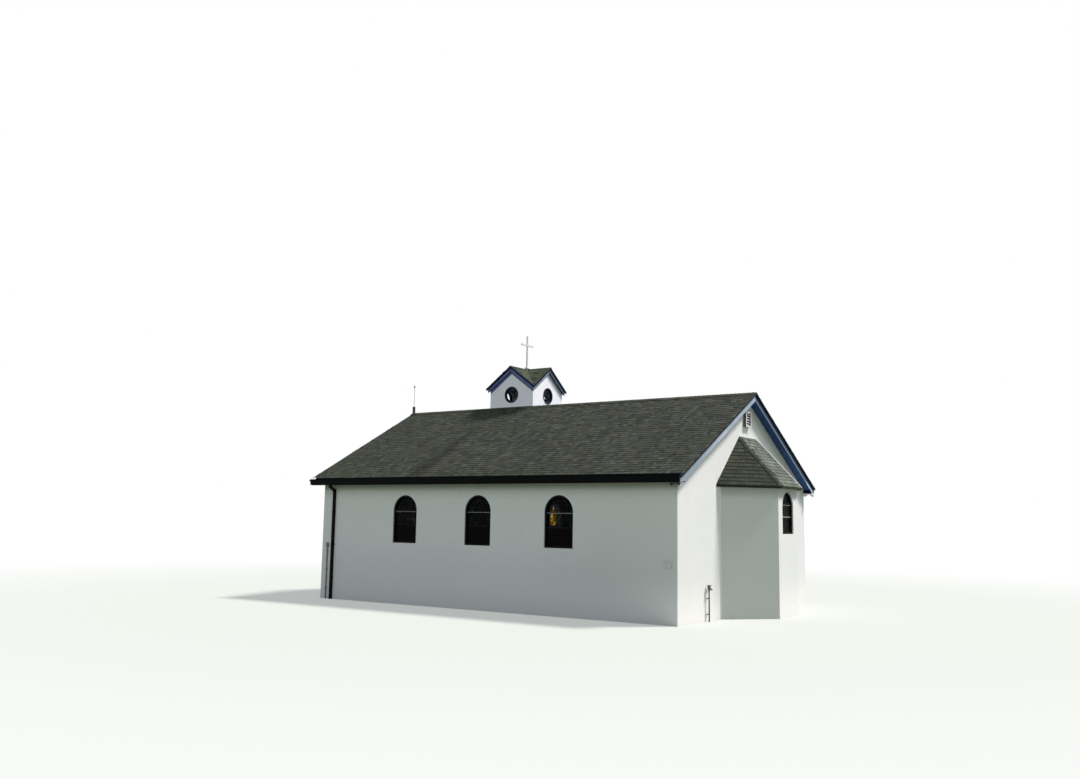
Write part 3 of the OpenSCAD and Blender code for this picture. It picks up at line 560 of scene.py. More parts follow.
# Ridge of the main roof: cap shingles bent over the ridge, cut short where the cupola stands
cap_x0, cap_x1 = roof_x0 + 0.002, roof_x1 - 0.002
cap_count = int(math.ceil((cap_x1 - cap_x0) / 0.127))
cap_middle = cap_x0 + (np.arange(cap_count) + 0.5) * (cap_x1 - cap_x0) / cap_count
cupola_x0, cupola_x1, cap_wide, cap_cut = -2.866, -1.156, 0.150, 0.018
cap_far = np.where((cap_middle > cupola_x0) & (cap_middle < cupola_x1), cap_cut, cap_wide)
ridge_caps = caps((cap_x0, 0, ridge_z), (cap_x1, 0, ridge_z), down_near, down_far, cap_wide, cap_far, 6,
                  base=0.015, butt=0.007)
piece("ridge_cap_shingles", ridge_caps, roof_shingle)
dress(plain_granules("ridge_underlay", (0.04, 0.045, 0.037), 0.93, 0.2, 0.1, (0.034, 0.038, 0.032)), "ridge_cap")


def true_normal(where):
    """The x, y and z of the way that a face looks."""
    return split(shade(where.tree, "NewGeometry")["True Normal"])


# Boards and metal edge of the slopes: black metal on top and on the edges, navy at the gables, and pine boards
# 123 mm wide on the underside, which show inside the room
roof_deck, shader, where = finish("roof_deck", (0.006, 0.007, 0.007), 0.6, gloss=0.08)
grain = use(fine_grain, where, Grains_a_metre=60.0)
x, y, _ = split(where)
inside = (true_normal(where)[2] < -0.5) * (abs(x) < half_long)
pine_wide = 0.1234
gap = (y / pine_wide).math("FRACT") < 0.03
rings = noise(where, 24.0, 4.0, 0.6, (0.06, 1.0, 1.0))
wood = blend(gap, blend(rings, (0.30, 0.21, 0.12), (0.46, 0.34, 0.21)), (0.05, 0.035, 0.02))
metal = blend(grain["Speckle"] * 0.35, (0.0045, 0.0055, 0.006), (0.010, 0.011, 0.010))
metal = blend(abs(x) > half_long, metal, (0.0015, 0.0095, 0.022))
surface(shader, blend(inside, metal, wood), (1.0 - gap) * inside + grain["Height"] * 0.1, 0.002)
dress(roof_deck, "near_roof_slope", "far_roof_slope")


# Gable edges: two barge boards at each end under the navy roof edge, painted light blue and
# chalky from the sun, and a boxed lining behind them in deep blue that closes the overhang. The far
# boards are darkened with painted shadow and shade except near their foot.
worn_paint, asked, given = effect("worn_paint", {"Where": ORIGIN, "Wear": 0.3}, ["Bare", "Chalk", "Height"])
chips = noise(asked["Where"], 26.0, 6.0, 0.75)
bare = ramp(chips + asked["Wear"] * 0.22, 0.74, 0.78)
plug(given["Bare"], bare)
plug(given["Chalk"], ramp(noise(asked["Where"], 2.2, 4.0, 0.6), 0.38, 0.66))
plug(given["Height"], noise(asked["Where"], 90.0, 2.0, 0.5, (0.15, 0.15, 1.0)) * 0.5 - bare * 0.5)

BARE_WOOD = (0.34, 0.31, 0.27)
barge_paint, shader, where = finish("barge_board_paint", (0.40, 0.47, 0.54), 0.62, gloss=0.3)
worn = use(worn_paint, where, Wear=0.25)
x, y, z = split(where)
outward = true_normal(where)[0] * x > 2.0
below = (ridge_z - abs(y) * slope) - z
near_board = layered(blend(worn["Chalk"], (0.30, 0.39, 0.46), (0.44, 0.47, 0.57)),
                     (ramp(y, -2.6, -3.6, 0.0, 0.8), (0.22, 0.29, 0.33)),
                     (worn["Bare"], BARE_WOOD),
                     (ramp(below, 0.076, 0.064, 0.0, 0.9), (0.012, 0.040, 0.10)))
# Far boards: a near-black upper part that is painted shadow of the roof edge, over a deep blue strip of painted shade
# that keeps the pale paint only near the foot
far_lip_painted_shade = blend(ramp(y, 3.55, 3.85), (0.10, 0.155, 0.235), (0.40, 0.50, 0.60))
far_board_painted_shadow = blend(ramp(below, 0.131, 0.139), (0.004, 0.012, 0.020), far_lip_painted_shade)
lining = blend(worn["Chalk"], (0.008, 0.043, 0.130), (0.013, 0.057, 0.180))
surface(shader, blend(outward, lining, blend(y > 0.0, near_board, far_board_painted_shadow)), worn["Height"], 0.002)
dress(barge_paint, "apse_end_rake", "door_end_rake")


# Eaves: a fascia and a soffit board under each long edge of the roof, in near-black satin
# paint with a breath of dust, and deep blue on the ends of the far one.
settled_dust, asked, given = effect("settled_dust", {"Where": ORIGIN, "Amount": 0.3}, ["Dust", "Height"])
upward = split(shade(settled_dust, "NewGeometry")["Normal"])[2]
drift = ramp(noise(asked["Where"], 7.0, 5.0, 0.65), 0.35, 0.7)
plug(given["Dust"], ramp(upward, -0.2, 0.9, 0.25, 1.0) * drift * asked["Amount"])
plug(given["Height"], noise(asked["Where"], 60.0, 3.0, 0.6))

eave_paint, shader, where = finish("eave_paint", (0.0045, 0.0055, 0.0065), 0.6, gloss=0.07)
dust = use(settled_dust, where, Amount=0.2)
x, y, _ = split(where)
far_end = (abs(x) > 5.565) * (y > 0.0)
colour = blend(dust["Dust"], (0.0045, 0.0055, 0.0065), (0.016, 0.018, 0.015))
surface(shader, blend(far_end, colour, (0.016, 0.020, 0.085)), dust["Height"], 0.0006)
dress(eave_paint, "near_eave_box", "far_eave_box")


# Gutters and downspouts: folded black sheet. Hidden straps hold each gutter every 0.6 m, a sleeve
# covers each joint, and the downspouts have crimped collars at their elbows and screws in their straps.
def carried(outline, path, side, closed=False):
    """A flat outline carried along a path that lies in the plane square to side.

    At each path point the outline's first number runs along side and its second one square to the path,
    lengthened by 1 / cos(half the bend) so that the sides keep their thickness round a corner.
    """
    outline, path, side = np.asarray(outline, float), np.asarray(path, float), unit(side)
    steps = np.roll(path, -1, axis=0) - path if closed else np.diff(path, axis=0)
    steps = steps / np.linalg.norm(steps, axis=1)[:, None]
    before = np.roll(steps, 1, axis=0) if closed else np.vstack([steps[:1], steps])
    after = steps if closed else np.vstack([steps, steps[-1:]])
    heading = before + after
    heading = heading / np.linalg.norm(heading, axis=1)[:, None]
    lengthen = 1.0 / np.clip(np.sum(heading * after, axis=1), 0.3, 1.0)
    normal = np.cross(heading, side) * lengthen[:, None]
    points = path[:, None, :] + outline[None, :, :1] * side + outline[None, :, 1:] * normal[:, None, :]
    faces = rings_of_faces(len(path) if closed else len(path) - 1, len(outline), len(path) * len(outline))
    if not closed:
        last = (len(path) - 1) * len(outline)
        faces += [list(range(len(outline)))[::-1], list(range(last, last + len(outline)))]
    return points.reshape(-1, 3), faces


def rings_of_faces(rings, around, total):
    """Four-sided faces between neighbouring rings of points, with the corner numbers wrapped at the total."""
    i, j = np.arange(rings)[:, None], np.arange(around)[None, :]
    a, b = i * around + j, i * around + (j + 1) % around
    return np.stack([a, b, (b + around) % total, (a + around) % total], axis=-1).reshape(-1, 4).tolist()


def strip(wide, thick, chamfer=0.0):
    """Outline of a flat strip that lies on the path, thick on its outer side, with chamfered edges if asked."""
    half = wide / 2
    if chamfer <= 0.0:
        return [(-half, 0.0), (half, 0.0), (half, thick), (-half, thick)]
    return [(-half, 0.0), (half, 0.0), (half, thick - chamfer), (half - chamfer, thick),
            (-half + chamfer, thick), (-half, thick - chamfer)]


def circle(radius, sides=16):
    """Outline of a round bar."""
    angle = 2 * math.pi * np.arange(sides) / sides
    return np.column_stack([radius * np.cos(angle), radius * np.sin(angle)])


def spokes(axis, sides):
    """Unit vectors in a ring round an axis."""
    side = unit(np.cross(axis, [0.0, 0.0, 1.0] if abs(axis[2]) < 0.9 else [1.0, 0.0, 0.0]))
    ring = circle(1.0, sides)
    return ring[:, :1] * side + ring[:, 1:] * np.cross(axis, side)


def heads(centres, axis, radius=0.006, proud=0.004):
    """Screw or bolt heads: eight-sided domes on the given centres, which stand out along axis."""
    axis = unit(axis)
    ring = spokes(axis, 8) * radius
    dome = np.vstack([ring, ring * 0.8 + axis * proud * 0.7, [axis * proud]])
    faces = rings_of_faces(1, 8, 17) + [[8 + j, 8 + (j + 1) % 8, 16] for j in range(8)] + [list(range(8))[::-1]]
    return together(*[(dome + np.asarray(centre, float), faces) for centre in centres])


def moved(shape, offsets):
    """The same shape once at each offset."""
    points, faces = shape
    return together(*[(np.asarray(points) + offset, faces) for offset in offsets])


def both_sides(*pieces):
    """Near pieces and then their mirror images on the far side, with near or far put into the names."""
    for side, way in (("near", 1.0), ("far", -1.0)):
        for name, (points, faces), material, slot in pieces:
            piece(name.format(side), (points * [1.0, way, 1.0], faces), material)


black_sheet, shader, where = finish("black_sheet", (0.0030, 0.0038, 0.0036), 0.6, gloss=0.04)
dust = use(settled_dust, where, Amount=0.15)
x, y, z = split(where)
ribs = (x * (2 * math.pi / 0.0195)).math("SINE")
spout_zone = (z < 2.95) * (abs(y) > 4.0)
surface(shader, blend(dust["Dust"], (0.0026, 0.0034, 0.0032), (0.014, 0.016, 0.013)),
        ribs * spout_zone * 0.5 + dust["Height"] * 0.3, 0.002)
dress(black_sheet, "near_gutter", "far_gutter", "near_downspout", "far_downspout")

gutter_y0, gutter_y1, gutter_top, gutter_foot = -4.200, -4.320, 3.30063, 3.15063
gutter_bend = [(0, gutter_y0 + 0.004, gutter_foot - 0.0002), (0, gutter_y0 - 0.0792, gutter_foot - 0.0002),
               (0, gutter_y1, gutter_foot + 0.09), (0, gutter_y1, gutter_top)]
sleeve = carried([(-0.022, 0.0), (0.022, 0.0), (0.019, -0.0018), (-0.019, -0.0018)], gutter_bend, (1, 0, 0))
strap_bend = [(0, gutter_y1 + 0.005, gutter_top - 0.012), (0, gutter_y1 + 0.012, gutter_top - 0.006),
              (0, gutter_y0 - 0.030, gutter_top - 0.006), (0, gutter_y0 - 0.006, gutter_top + 0.006)]
strap = carried(strip(0.022, 0.002), strap_bend, (1, 0, 0))
straps = together(moved(sleeve, [(x, 0, 0) for x in (-2.9, 0.05, 3.0)]),
                  moved(strap, [(x, 0, 0) for x in np.linspace(-5.6, 5.5, 19)]))
both_sides(("{}_gutter_straps", straps, black_sheet, "black_metal"))

spout_x, spout_y, outlet_y = -5.145, -4.064, -4.2396
spout_ring = np.array([(spout_x + x, spout_y + y, 0.0)
                       for x, y in ((-0.0405, -0.0305), (0.0405, -0.0305), (0.0405, 0.0305), (-0.0405, 0.0305))])
crimp = carried([(-0.010, 0.0), (0.010, 0.0), (0.006, -0.002), (-0.006, -0.002)], spout_ring, (0, 0, 1), closed=True)
outlet = carried([(-0.008, 0.0), (0.008, 0.0), (0.006, -0.003), (-0.006, -0.003)],
                 spout_ring + [0, outlet_y - spout_y, 0], (0, 0, 1), closed=True)
spout_screws = heads([(spout_x + s * 0.046, -4.0955, z) for s in (-1, 1) for z in (0.612, 1.511, 2.409)],
                     (0, -1, 0), 0.005, 0.003)
crimps = moved(crimp, [(0, 0, z) for z in (2.955, 2.93, 1.72)])
collars = together(crimps, moved(outlet, [(0, 0, 3.138)]), spout_screws)
both_sides(("{}_downspout_collars", collars, black_sheet, "black_metal"))


# Arched windows: black frames set back in the wall, smoky glass leaded in a plain slanting net and
# stiffened by saddle bars. The far wall's glass is deeper, with a column of amber panes in the middle.
def dusty(shader, where, amount, colour, dust_colour):
    """Feeds the shader a colour under settled dust, with a slight orange-peel relief, and gives the dust mask."""
    dust = use(settled_dust, where, Amount=amount)
    surface(shader, blend(dust["Dust"], colour, dust_colour), dust["Height"], 0.0006)
    return dust["Dust"]


def painted(name, colour, dust_colour, roughness, amount, **fixed):
    """Even paint or metal finish that is duller where dust lies on it."""
    material, shader, where = finish(name, colour, roughness, **fixed)
    dust = dusty(shader, where, amount, colour, dust_colour)
    plug(shader.inputs["Roughness"], ramp(dust, 0.0, 0.6, roughness, min(1.0, roughness + 0.3)))
    return material


black_frame = painted("black_frame", (0.0038, 0.0042, 0.0048), (0.014, 0.015, 0.014), 0.55, 0.2, gloss=0.07)
dress(black_frame, "near_window_frames", "far_window_frames", "apse_window_frame")
lead = painted("weathered_lead", (0.016, 0.018, 0.018), (0.035, 0.037, 0.035), 0.65, 0.5, gloss=0.15)
bar_grey = painted("galvanised_bar", (0.25, 0.26, 0.25), (0.30, 0.31, 0.29), 0.6, 0.5, gloss=0.3)

# Sizes that all the glass shares: the net, the border, and the column of amber panes over the middle rail
net_wide, net_high, border_wide = 0.12, 0.16, 0.070
rail_top, column_half, column_low, column_high, amber_high = 0.44, 0.105, 0.447, 1.087, 0.128

leaded_panes, asked, given = effect(
    "leaded_panes", {"Across": 0.0, "Up": 0.0, "Half width": 0.37, "Arch foot": 0.81,
                     "Light pane": (0.5, 0.5, 0.5, 1.0), "Dark pane": (0.3, 0.3, 0.3, 1.0), "Amber": 1.0},
    ["Colour", "Height"])
across, rising = asked["Across"], asked["Up"]
sideways = abs(across)
over_arch = (rising - asked["Arch foot"]).math("MAXIMUM", 0.0)
from_middle = (sideways * sideways + over_arch * over_arch).math("SQRT")
border = asked["Half width"] - from_middle < border_wide
narrowed = ramp(rising, 0.76, 1.02, column_half, 0.030)
in_column = (sideways < narrowed) * ((rising > column_low) * (rising < column_high))


def pane_number(first, second):
    """A steady random number for the pane at that row and column."""
    cell = shade(first.tree, "CombineXYZ", {"X": first.math("FLOOR"), "Y": second.math("FLOOR")})[0]
    return shade(first.tree, "TexWhiteNoise", {"Vector": cell}, noise_dimensions="3D")["Value"]


quarry = pane_number(across / net_wide + rising / net_high, across / net_wide - rising / net_high)
small = pane_number(across / column_half, (rising - column_low) / amber_high)
edging = pane_number(rising * 7.0, across.math("SIGN"))
amber = blend(ramp(small, 0.55, 0.65), (0.35, 0.15, 0.008), (0.98, 0.66, 0.05))
amber = blend(ramp(small, 0.84, 0.9), amber, (1.0, 0.86, 0.30))
plug(given["Colour"], layered(blend(quarry, asked["Dark pane"], asked["Light pane"]),
                              (border, blend(edging, (0.02, 0.03, 0.10), (0.05, 0.025, 0.07))),
                              (rising < rail_top, (0.020, 0.022, 0.024)),
                              (in_column * asked["Amber"], amber)))
ripple = shade(leaded_panes, "CombineXYZ", {"X": across, "Y": rising, "Z": quarry})[0]
plug(given["Height"], noise(ripple, 14.0, 2.0))


def leaded_glass(name, axis, shift, step, sill, half_width, arch_foot, dark, light, amber, frosted=0.06):
    """Glass whose pattern repeats every step metres along an axis, or stands once where step is 0."""
    material, shader, where = finish(name, (0.3, 0.3, 0.3), frosted, gloss=0.1, Transmission_Weight=1.0, IOR=1.1)
    parts = split(where)
    across = parts[axis] - shift
    if step:
        across = (across + step / 2).math("FLOORED_MODULO", step) - step / 2
    panes = use(leaded_panes, across, Up=parts[2] - sill, Amber=amber, Half_width=half_width, Arch_foot=arch_foot,
                Dark_pane=dark, Light_pane=light)
    surface(shader, panes["Colour"], panes["Height"], 0.0008)
    return material


window_places, window_step, far_shift = (-2.503, -0.048, 2.407), 2.455, -0.55
pane_half, pane_rise, pane_low = 0.3699, 0.8109, 1.610 + 0.0426
apse_half, apse_rise, apse_low = 0.3254, 0.6291, 2.026 + 0.0426
dress(leaded_glass("near_wall_glass", 0, window_places[1], window_step, pane_low, pane_half, pane_rise,
                   (0.25, 0.25, 0.25), (0.33, 0.33, 0.33), 0.0), "near_window_glass")
dress(leaded_glass("far_wall_glass", 0, window_places[1] + far_shift, window_step, pane_low, pane_half, pane_rise,
                   (0.030, 0.022, 0.030), (0.060, 0.055, 0.030), 1.0), "far_window_glass")
dress(leaded_glass("apse_glass", 1, 0.0, 0.0, apse_low, apse_half, apse_rise,
                   (0.024, 0.021, 0.031), (0.040, 0.036, 0.050), 0.0, frosted=0.45), "apse_window_glass")


def arch_path(half, rise, inset, segments=28):
    """Points up one side of an arched pane, round its head and down the other side, inset from its edge."""
    angle = np.linspace(0.0, math.pi, segments)
    head = np.column_stack([(half - inset) * np.cos(angle), rise + (half - inset) * np.sin(angle)])
    return np.vstack([[half - inset, inset], head, [-(half - inset), inset]])


def kept_stretch(point, heading, half, rise, column):
    """Stretches of the line through point inside the border and outside the column, as (start, end) pairs."""
    t = np.linspace(-2.0, 2.0, 1601)
    u, v = point[0] + t * heading[0], point[1] + t * heading[1]
    within = half - border_wide
    inside = (np.hypot(u, np.maximum(v - rise, 0.0)) < within) & (v > rail_top) & (np.abs(u) < within)
    if column:
        inside &= ~((np.abs(u) < column_half) & (v > column_low) & (v < column_high))
    marks = np.flatnonzero(np.diff(np.concatenate([[0], inside.astype(int), [0]])))
    return [((u[a], v[a]), (u[b - 1], v[b - 1])) for a, b in zip(marks[::2], marks[1::2]) if b - a > 8]


def lead_lines(half, rise, column):
    """Came lines of one window: an inner border, a slanting net, and the column of amber panes if it has one."""
    within = half - border_wide
    lines = [arch_path(half, rise, border_wide)[1:-1], [(-half + 0.004, rail_top), (half - 0.004, rail_top)]]
    lines += [[(within, rise), (within, rail_top)], [(-within, rise), (-within, rail_top)]]
    if column:
        lines += [[(s * column_half, column_low), (s * column_half, column_high)] for s in (-1, 0, 1)]
        lines += [[(-column_half, v), (column_half, v)] for v in column_low + amber_high * np.arange(6)]
    slant = unit([net_wide, net_high])
    for k in range(-14, 15):
        for turn in (1, -1):
            lines += kept_stretch((net_wide * k, 0.0), (slant[0] * turn, slant[1]), half, rise, column)
    return [np.asarray(line, float) for line in lines]


def cames(half, rise, place, along, out, column=False):
    """All lead cames of one window on one face of its glass, whose foot middle is at place."""
    profile = [(0.0, -0.0028), (0.0024, -0.0018), (0.0024, 0.0018), (0.0, 0.0028)]
    along, upright = np.asarray(along, float), np.array([0.0, 0.0, 1.0])
    return together(*[carried(profile, np.asarray(place) + line[:, :1] * along + line[:, 1:] * upright, out)
                      for line in lead_lines(half, rise, column)])


def bars(half, low, high, place, along, out):
    """Round saddle bar at the height high and a flat bar at the height low, both over the foot of the pane."""
    along, out = np.asarray(along, float), np.asarray(out, float)
    ends = [np.asarray(place) + out * 0.007 + s * along for s in (-half - 0.006, half + 0.006)]
    saddle = carried(circle(0.0085, 10), [end + [0, 0, high] for end in ends], np.cross(along, out))
    flat_bar = carried([(-0.013, -0.005), (0.013, -0.005), (0.013, 0.003), (0.010, 0.006), (-0.010, 0.006),
                        (-0.013, 0.003)], [end + [0, 0, low] for end in ends], (0, 0, 1))
    return saddle, flat_bar


face_y, glass_thick = 3.965, 0.008
both_faces = ((0.0, 1.0), (glass_thick, -1.0))
for side, way, shift in (("near", -1.0, 0.0), ("far", 1.0, far_shift)):
    places = [(x + shift, way * face_y, pane_low) for x in window_places]
    net = together(*[cames(pane_half, pane_rise, (x, y - way * d, z), (1, 0, 0), (0, way * n, 0), side == "far")
                     for x, y, z in places for d, n in both_faces])
    piece(side + "_window_cames", net, lead)
    saddles, rails = zip(*[bars(pane_half, rail_top, pane_rise - 0.022, place, (1, 0, 0), (0, way, 0))
                           for place in places])
    piece(side + "_saddle_bars", together(*saddles), bar_grey)
    piece(side + "_window_rails", together(*rails), black_frame)
apse_front, frame_back, glass_back = half_long + 1.038, 0.030, 0.040
apse_glass_x = apse_front - frame_back - glass_back
apse_cames = [cames(apse_half, apse_rise, (apse_glass_x - d, 0, apse_low), (0, 1, 0), (n, 0, 0))
              for d, n in both_faces]
piece("apse_window_cames", together(*apse_cames), lead)
apse_bars = bars(apse_half, 0.376, 0.669, (apse_glass_x, 0, apse_low), (0, 1, 0), (1, 0, 0))
piece("apse_saddle_bars", together(*apse_bars), bar_grey)


# Apse roof: three faces of the same shingles over the canted walls, the front one lighter with painted light,
# hips capped with bent shingles on the near side and with a pale metal strip on the far side that is also a painted
# highlight, and a flashing in the wall's paint.
def down_from(edge, third):
    """Unit vector in the plane of an edge and a third point, square to the edge and towards that point."""
    a, b, c = (np.asarray(p, float) for p in (*edge, third))
    run = unit(b - a)
    return unit((c - a) - run * np.dot(c - a, run))


near_corners = np.array([(5.572, -1.9751, 3.196), (6.728, -0.6788, 3.196), (5.572, -0.573, 4.446)])
far_corners = mirrored_y(near_corners)
(eave_corner, front_corner, top_corner), (far_eave, far_front, far_top) = near_corners, far_corners
EVEN_TONES = 0.5 * SHINGLE_TONES + 0.5 * SHINGLE_TONES.mean(axis=0)
apse_faces = [shingles(*corners, seed, course=0.1165, tab=0.19, shade_and_soil=shade_and_soil, tones=EVEN_TONES * painted_light)
              for corners, seed, shade_and_soil, painted_light in (
                  ((top_corner, top_corner, eave_corner, front_corner), 11, 0.18, [1.01, 1.07, 0.98]),
                  # The front face, which faces the sun, is made about three times lighter: painted light
                  ((top_corner, far_top, front_corner, far_front), 12, 0.40, [3.2, 3.26, 3.6]),
                  ((far_top, far_top, far_front, far_eave), 13, 0.20, [1.0, 1.0, 1.0]))]
piece("apse_roof_shingles", together(*apse_faces), roof_shingle)
dress(plain_granules("apse_roof_edge", (0.030, 0.034, 0.024), 0.9, 0.1, 0.3, (0.026, 0.030, 0.021)), "apse_roof")

near_hip = (front_corner, top_corner)
hip_sides = down_from(near_hip, eave_corner), down_from(near_hip, far_front)
OLIVE_TONES = 0.85 * np.array([[0.064, 0.078, 0.048], [0.052, 0.065, 0.038], [0.075, 0.089, 0.059]])
# The near hip caps are darker at their sides: painted shade and dirt
hip = caps(*near_hip, *hip_sides, 0.090, 0.062, 14, base=0.011, butt=0.007, tones=OLIVE_TONES, edge=0.45)
piece("apse_hip_caps", hip, roof_shingle)
# A pale strip on the far hip, which also stands for the sunlight on that hip: painted highlight
pale_strip_and_highlight = painted("pale_strip_painted_highlight", (0.62, 0.64, 0.62), (0.35, 0.36, 0.33), 0.45, 0.6, gloss=0.4)
far_hip = caps(far_front, far_top, *mirrored_y(hip_sides), 0.045, 0.040, 15, lap=0.6, base=0.016, butt=0.002)
piece("apse_far_hip_strip", far_hip[:2], pale_strip_and_highlight, weld=False)
feet = [0.92 * corner + 0.08 * top for corner, top in ((eave_corner, top_corner), (far_eave, far_top))]
wall_line = np.array([feet[0], top_corner, far_top, feet[1]]) + [0.0, 0.0, 0.014]
skirt = carried([(0.0, 0.0), (0.0, -0.045), (0.003, -0.045), (0.0045, -0.004), (0.0045, 0.0)], wall_line, (1, 0, 0))
piece("apse_wall_flashing", skirt, stucco)


# Door end: a plain frame and two shut leaves of upright boards with raised rails, painted blue
# outside and left bare inside, on iron strap hinges, with a pull on each leaf over a concrete threshold.
def brushed(where, wear, shady, sunny, bare):
    """Brushed paint, chalky in patches and off in chips: its colour, and its worn_paint outputs."""
    worn = use(worn_paint, where, Wear=wear)
    return blend(worn["Bare"], blend(worn["Chalk"], shady, sunny), bare), worn


leaf_x, leaf_low, leaf_high, leaf_edge, leaf_mid = -5.510, 0.152, 2.225, 0.676, 0.0025
BARE_DOOR = (0.33, 0.27, 0.20)
door_paint, shader, where = finish("door_paint", (0.12, 0.22, 0.36), 0.5, gloss=0.35)
colour, worn = brushed(where, 0.35, (0.085, 0.17, 0.31), (0.16, 0.26, 0.39), BARE_DOOR)
weather = use(rain_and_splash, where, Top=2.4, Run=1.4, Splash=0.55)
x, y, z = split(where)
colour = layered(colour, (weather["Foot"] * 0.5, (0.16, 0.16, 0.14)),
                 (z < 0.1501, (0.36, 0.35, 0.33)), (x > -5.475, (0.72, 0.46, 0.15)))
board_wide, leaf_centre, leaf_taller = 0.0966, 1.188, 0.361
groove = abs((y / board_wide).math("FRACT") - 0.5)
beyond_leaf = abs(y).math("MAXIMUM", abs(z - leaf_centre) - leaf_taller)
boards = ramp(groove, 0.5, 0.46) * (beyond_leaf < leaf_edge)
surface(shader, colour, boards + worn["Height"] * 0.3, 0.004)
dress(door_paint, "door_frame", "door_leaf_near", "door_leaf_far")
smooth_paint, shader, where = finish("door_rail_paint", (0.12, 0.22, 0.36), 0.48, gloss=0.35)
colour, worn = brushed(where, 0.4, (0.09, 0.18, 0.33), (0.17, 0.27, 0.41), BARE_DOOR)
surface(shader, colour, worn["Height"], 0.0015)
iron = painted("hinge_iron", (0.018, 0.018, 0.019), (0.09, 0.075, 0.06), 0.5, 0.45, Metallic=0.3)

rail_wide = 0.105
board = strip(rail_wide, 0.014, 0.003)
stiles = [carried(board, [(leaf_x, y, leaf_low + 0.002), (leaf_x, y, leaf_high)], (0, 1, 0))
          for y in (-leaf_mid - rail_wide / 2, -leaf_edge + rail_wide / 2)]
rails = [carried(board, [(leaf_x, -leaf_edge + rail_wide, z), (leaf_x, -leaf_mid - rail_wide, z)], (0, 0, -1))
         for z in (leaf_low + 0.055, 1.02, leaf_high - rail_wide / 2)]

hinge_heights = (0.36, 1.23, 2.06)
strap_x, pin_x, pin_y = leaf_x - 0.0142, leaf_x - 0.020, -leaf_edge - 0.004
hinge = [(-0.021, 0.0), (0.021, 0.0), (0.021, 0.004), (0.017, 0.006), (-0.017, 0.006), (-0.021, 0.004)]
straps = [carried(hinge, [(strap_x, -leaf_edge + 0.004, z), (strap_x, -0.235, z)], (0, 0, -1)) for z in hinge_heights]
pins = [carried(circle(0.011, 12), [(pin_x, pin_y, z - 0.045), (pin_x, pin_y, z + 0.045)], (0, 1, 0))
        for z in hinge_heights]
pull_bend = ((0.014, 0.98), (0.045, 0.99), (0.056, 1.02), (0.056, 1.14), (0.045, 1.17), (0.014, 1.18))
pull = carried(circle(0.0085, 12), [(leaf_x - out, -0.055, z) for out, z in pull_bend], (0, 1, 0))
studs = heads([(pin_x, y, z) for y in (-0.62, -0.50, -0.38, -0.27) for z in hinge_heights], (-1, 0, 0), 0.007, 0.004)
both_sides(("door_rails_{}", together(*stiles, *rails), smooth_paint, "blue_paint"),
           ("door_ironwork_{}", together(*straps, *pins, pull, studs), iron, "black_metal"))


# Cupola: a square lantern of white painted boards with four gables, shingle roofs that cross, blue
# barge boards and frieze under a dark edge, navy rims round clear panes, and a flashing round its foot.
cupola_middle = np.array([-2.010, 0.810, 6.88504])
cupola_x, cupola_y, cupola_z = cupola_middle.tolist()
reach, fall = 0.892, math.tan(math.radians(36.2))


def off_cupola(where):
    """How far a point is from the middle of the cupola along x and along y."""
    x, y, z = split(where)
    return abs(x - cupola_x), abs(y - cupola_y), z


cupola_paint, shader, where = finish("cupola_paint", (0.90, 0.90, 0.93), 0.6, gloss=0.3)
weather = use(rain_and_splash, where, Top=6.6, Run=1.6, Splash=0.01)
worn = use(worn_paint, where, Wear=0.08)
off_x, off_y, z = off_cupola(where)
below_roof = cupola_z - (z + off_x.math("MINIMUM", off_y) * fall)
# The frieze is pale on the walls towards x, as painted light, and deep blue on the walls towards y, as painted shade;
# the navy line under it is painted shade
frieze_lit_and_shaded = blend(off_x > 0.789, (0.125, 0.165, 0.36), (0.40, 0.46, 0.55))
colour = layered(blend(worn["Chalk"], (0.935, 0.94, 1.0), (0.96, 0.96, 1.0)),
                 (weather["Streaks"] * 0.12, (0.62, 0.64, 0.62)),
                 (worn["Bare"], (0.62, 0.60, 0.56)),
                 (below_roof < 0.236, (0.050, 0.066, 0.135)),
                 (below_roof < 0.218, frieze_lit_and_shaded),
                 (off_x.math("MAXIMUM", off_y) < 0.748, (0.42, 0.44, 0.49)))
lap_line = (z / 0.185).math("FRACT") > 0.035
surface(shader, colour, lap_line * 0.6 + worn["Height"] * 0.4, 0.0012)
dress(cupola_paint, "cupola_walls")

cupola_edge, shader, where = finish("cupola_roof_edge", (0.008, 0.014, 0.032), 0.6, gloss=0.08)
dusty(shader, where, 0.2, (0.006, 0.012, 0.028), (0.022, 0.028, 0.042))
dress(cupola_edge, "cupola_roof")

# Its barge boards, pale on the ends towards x as painted light and deeper blue on the others as painted shade, chalky
# in patches, with navy lining behind them
cupola_barge, shader, where = finish("cupola_barge_paint", (0.30, 0.38, 0.55), 0.6, gloss=0.2)
worn = use(worn_paint, where, Wear=0.25)
out_x, _, out_z = true_normal(where)
off_x, off_y, _ = off_cupola(where)
hidden = (off_x.math("MAXIMUM", off_y) < 0.8285).math("MAXIMUM", out_z < -0.3)
colour = layered(blend(worn["Chalk"], (0.125, 0.165, 0.36), (0.17, 0.215, 0.43)),
                 (abs(out_x) > 0.7, blend(worn["Chalk"], (0.27, 0.34, 0.44), (0.38, 0.44, 0.52))),
                 (worn["Bare"], BARE_WOOD),
                 (hidden, (0.026, 0.036, 0.085)))
surface(shader, colour, worn["Height"], 0.0015)
dress(cupola_barge, "cupola_barge_boards")

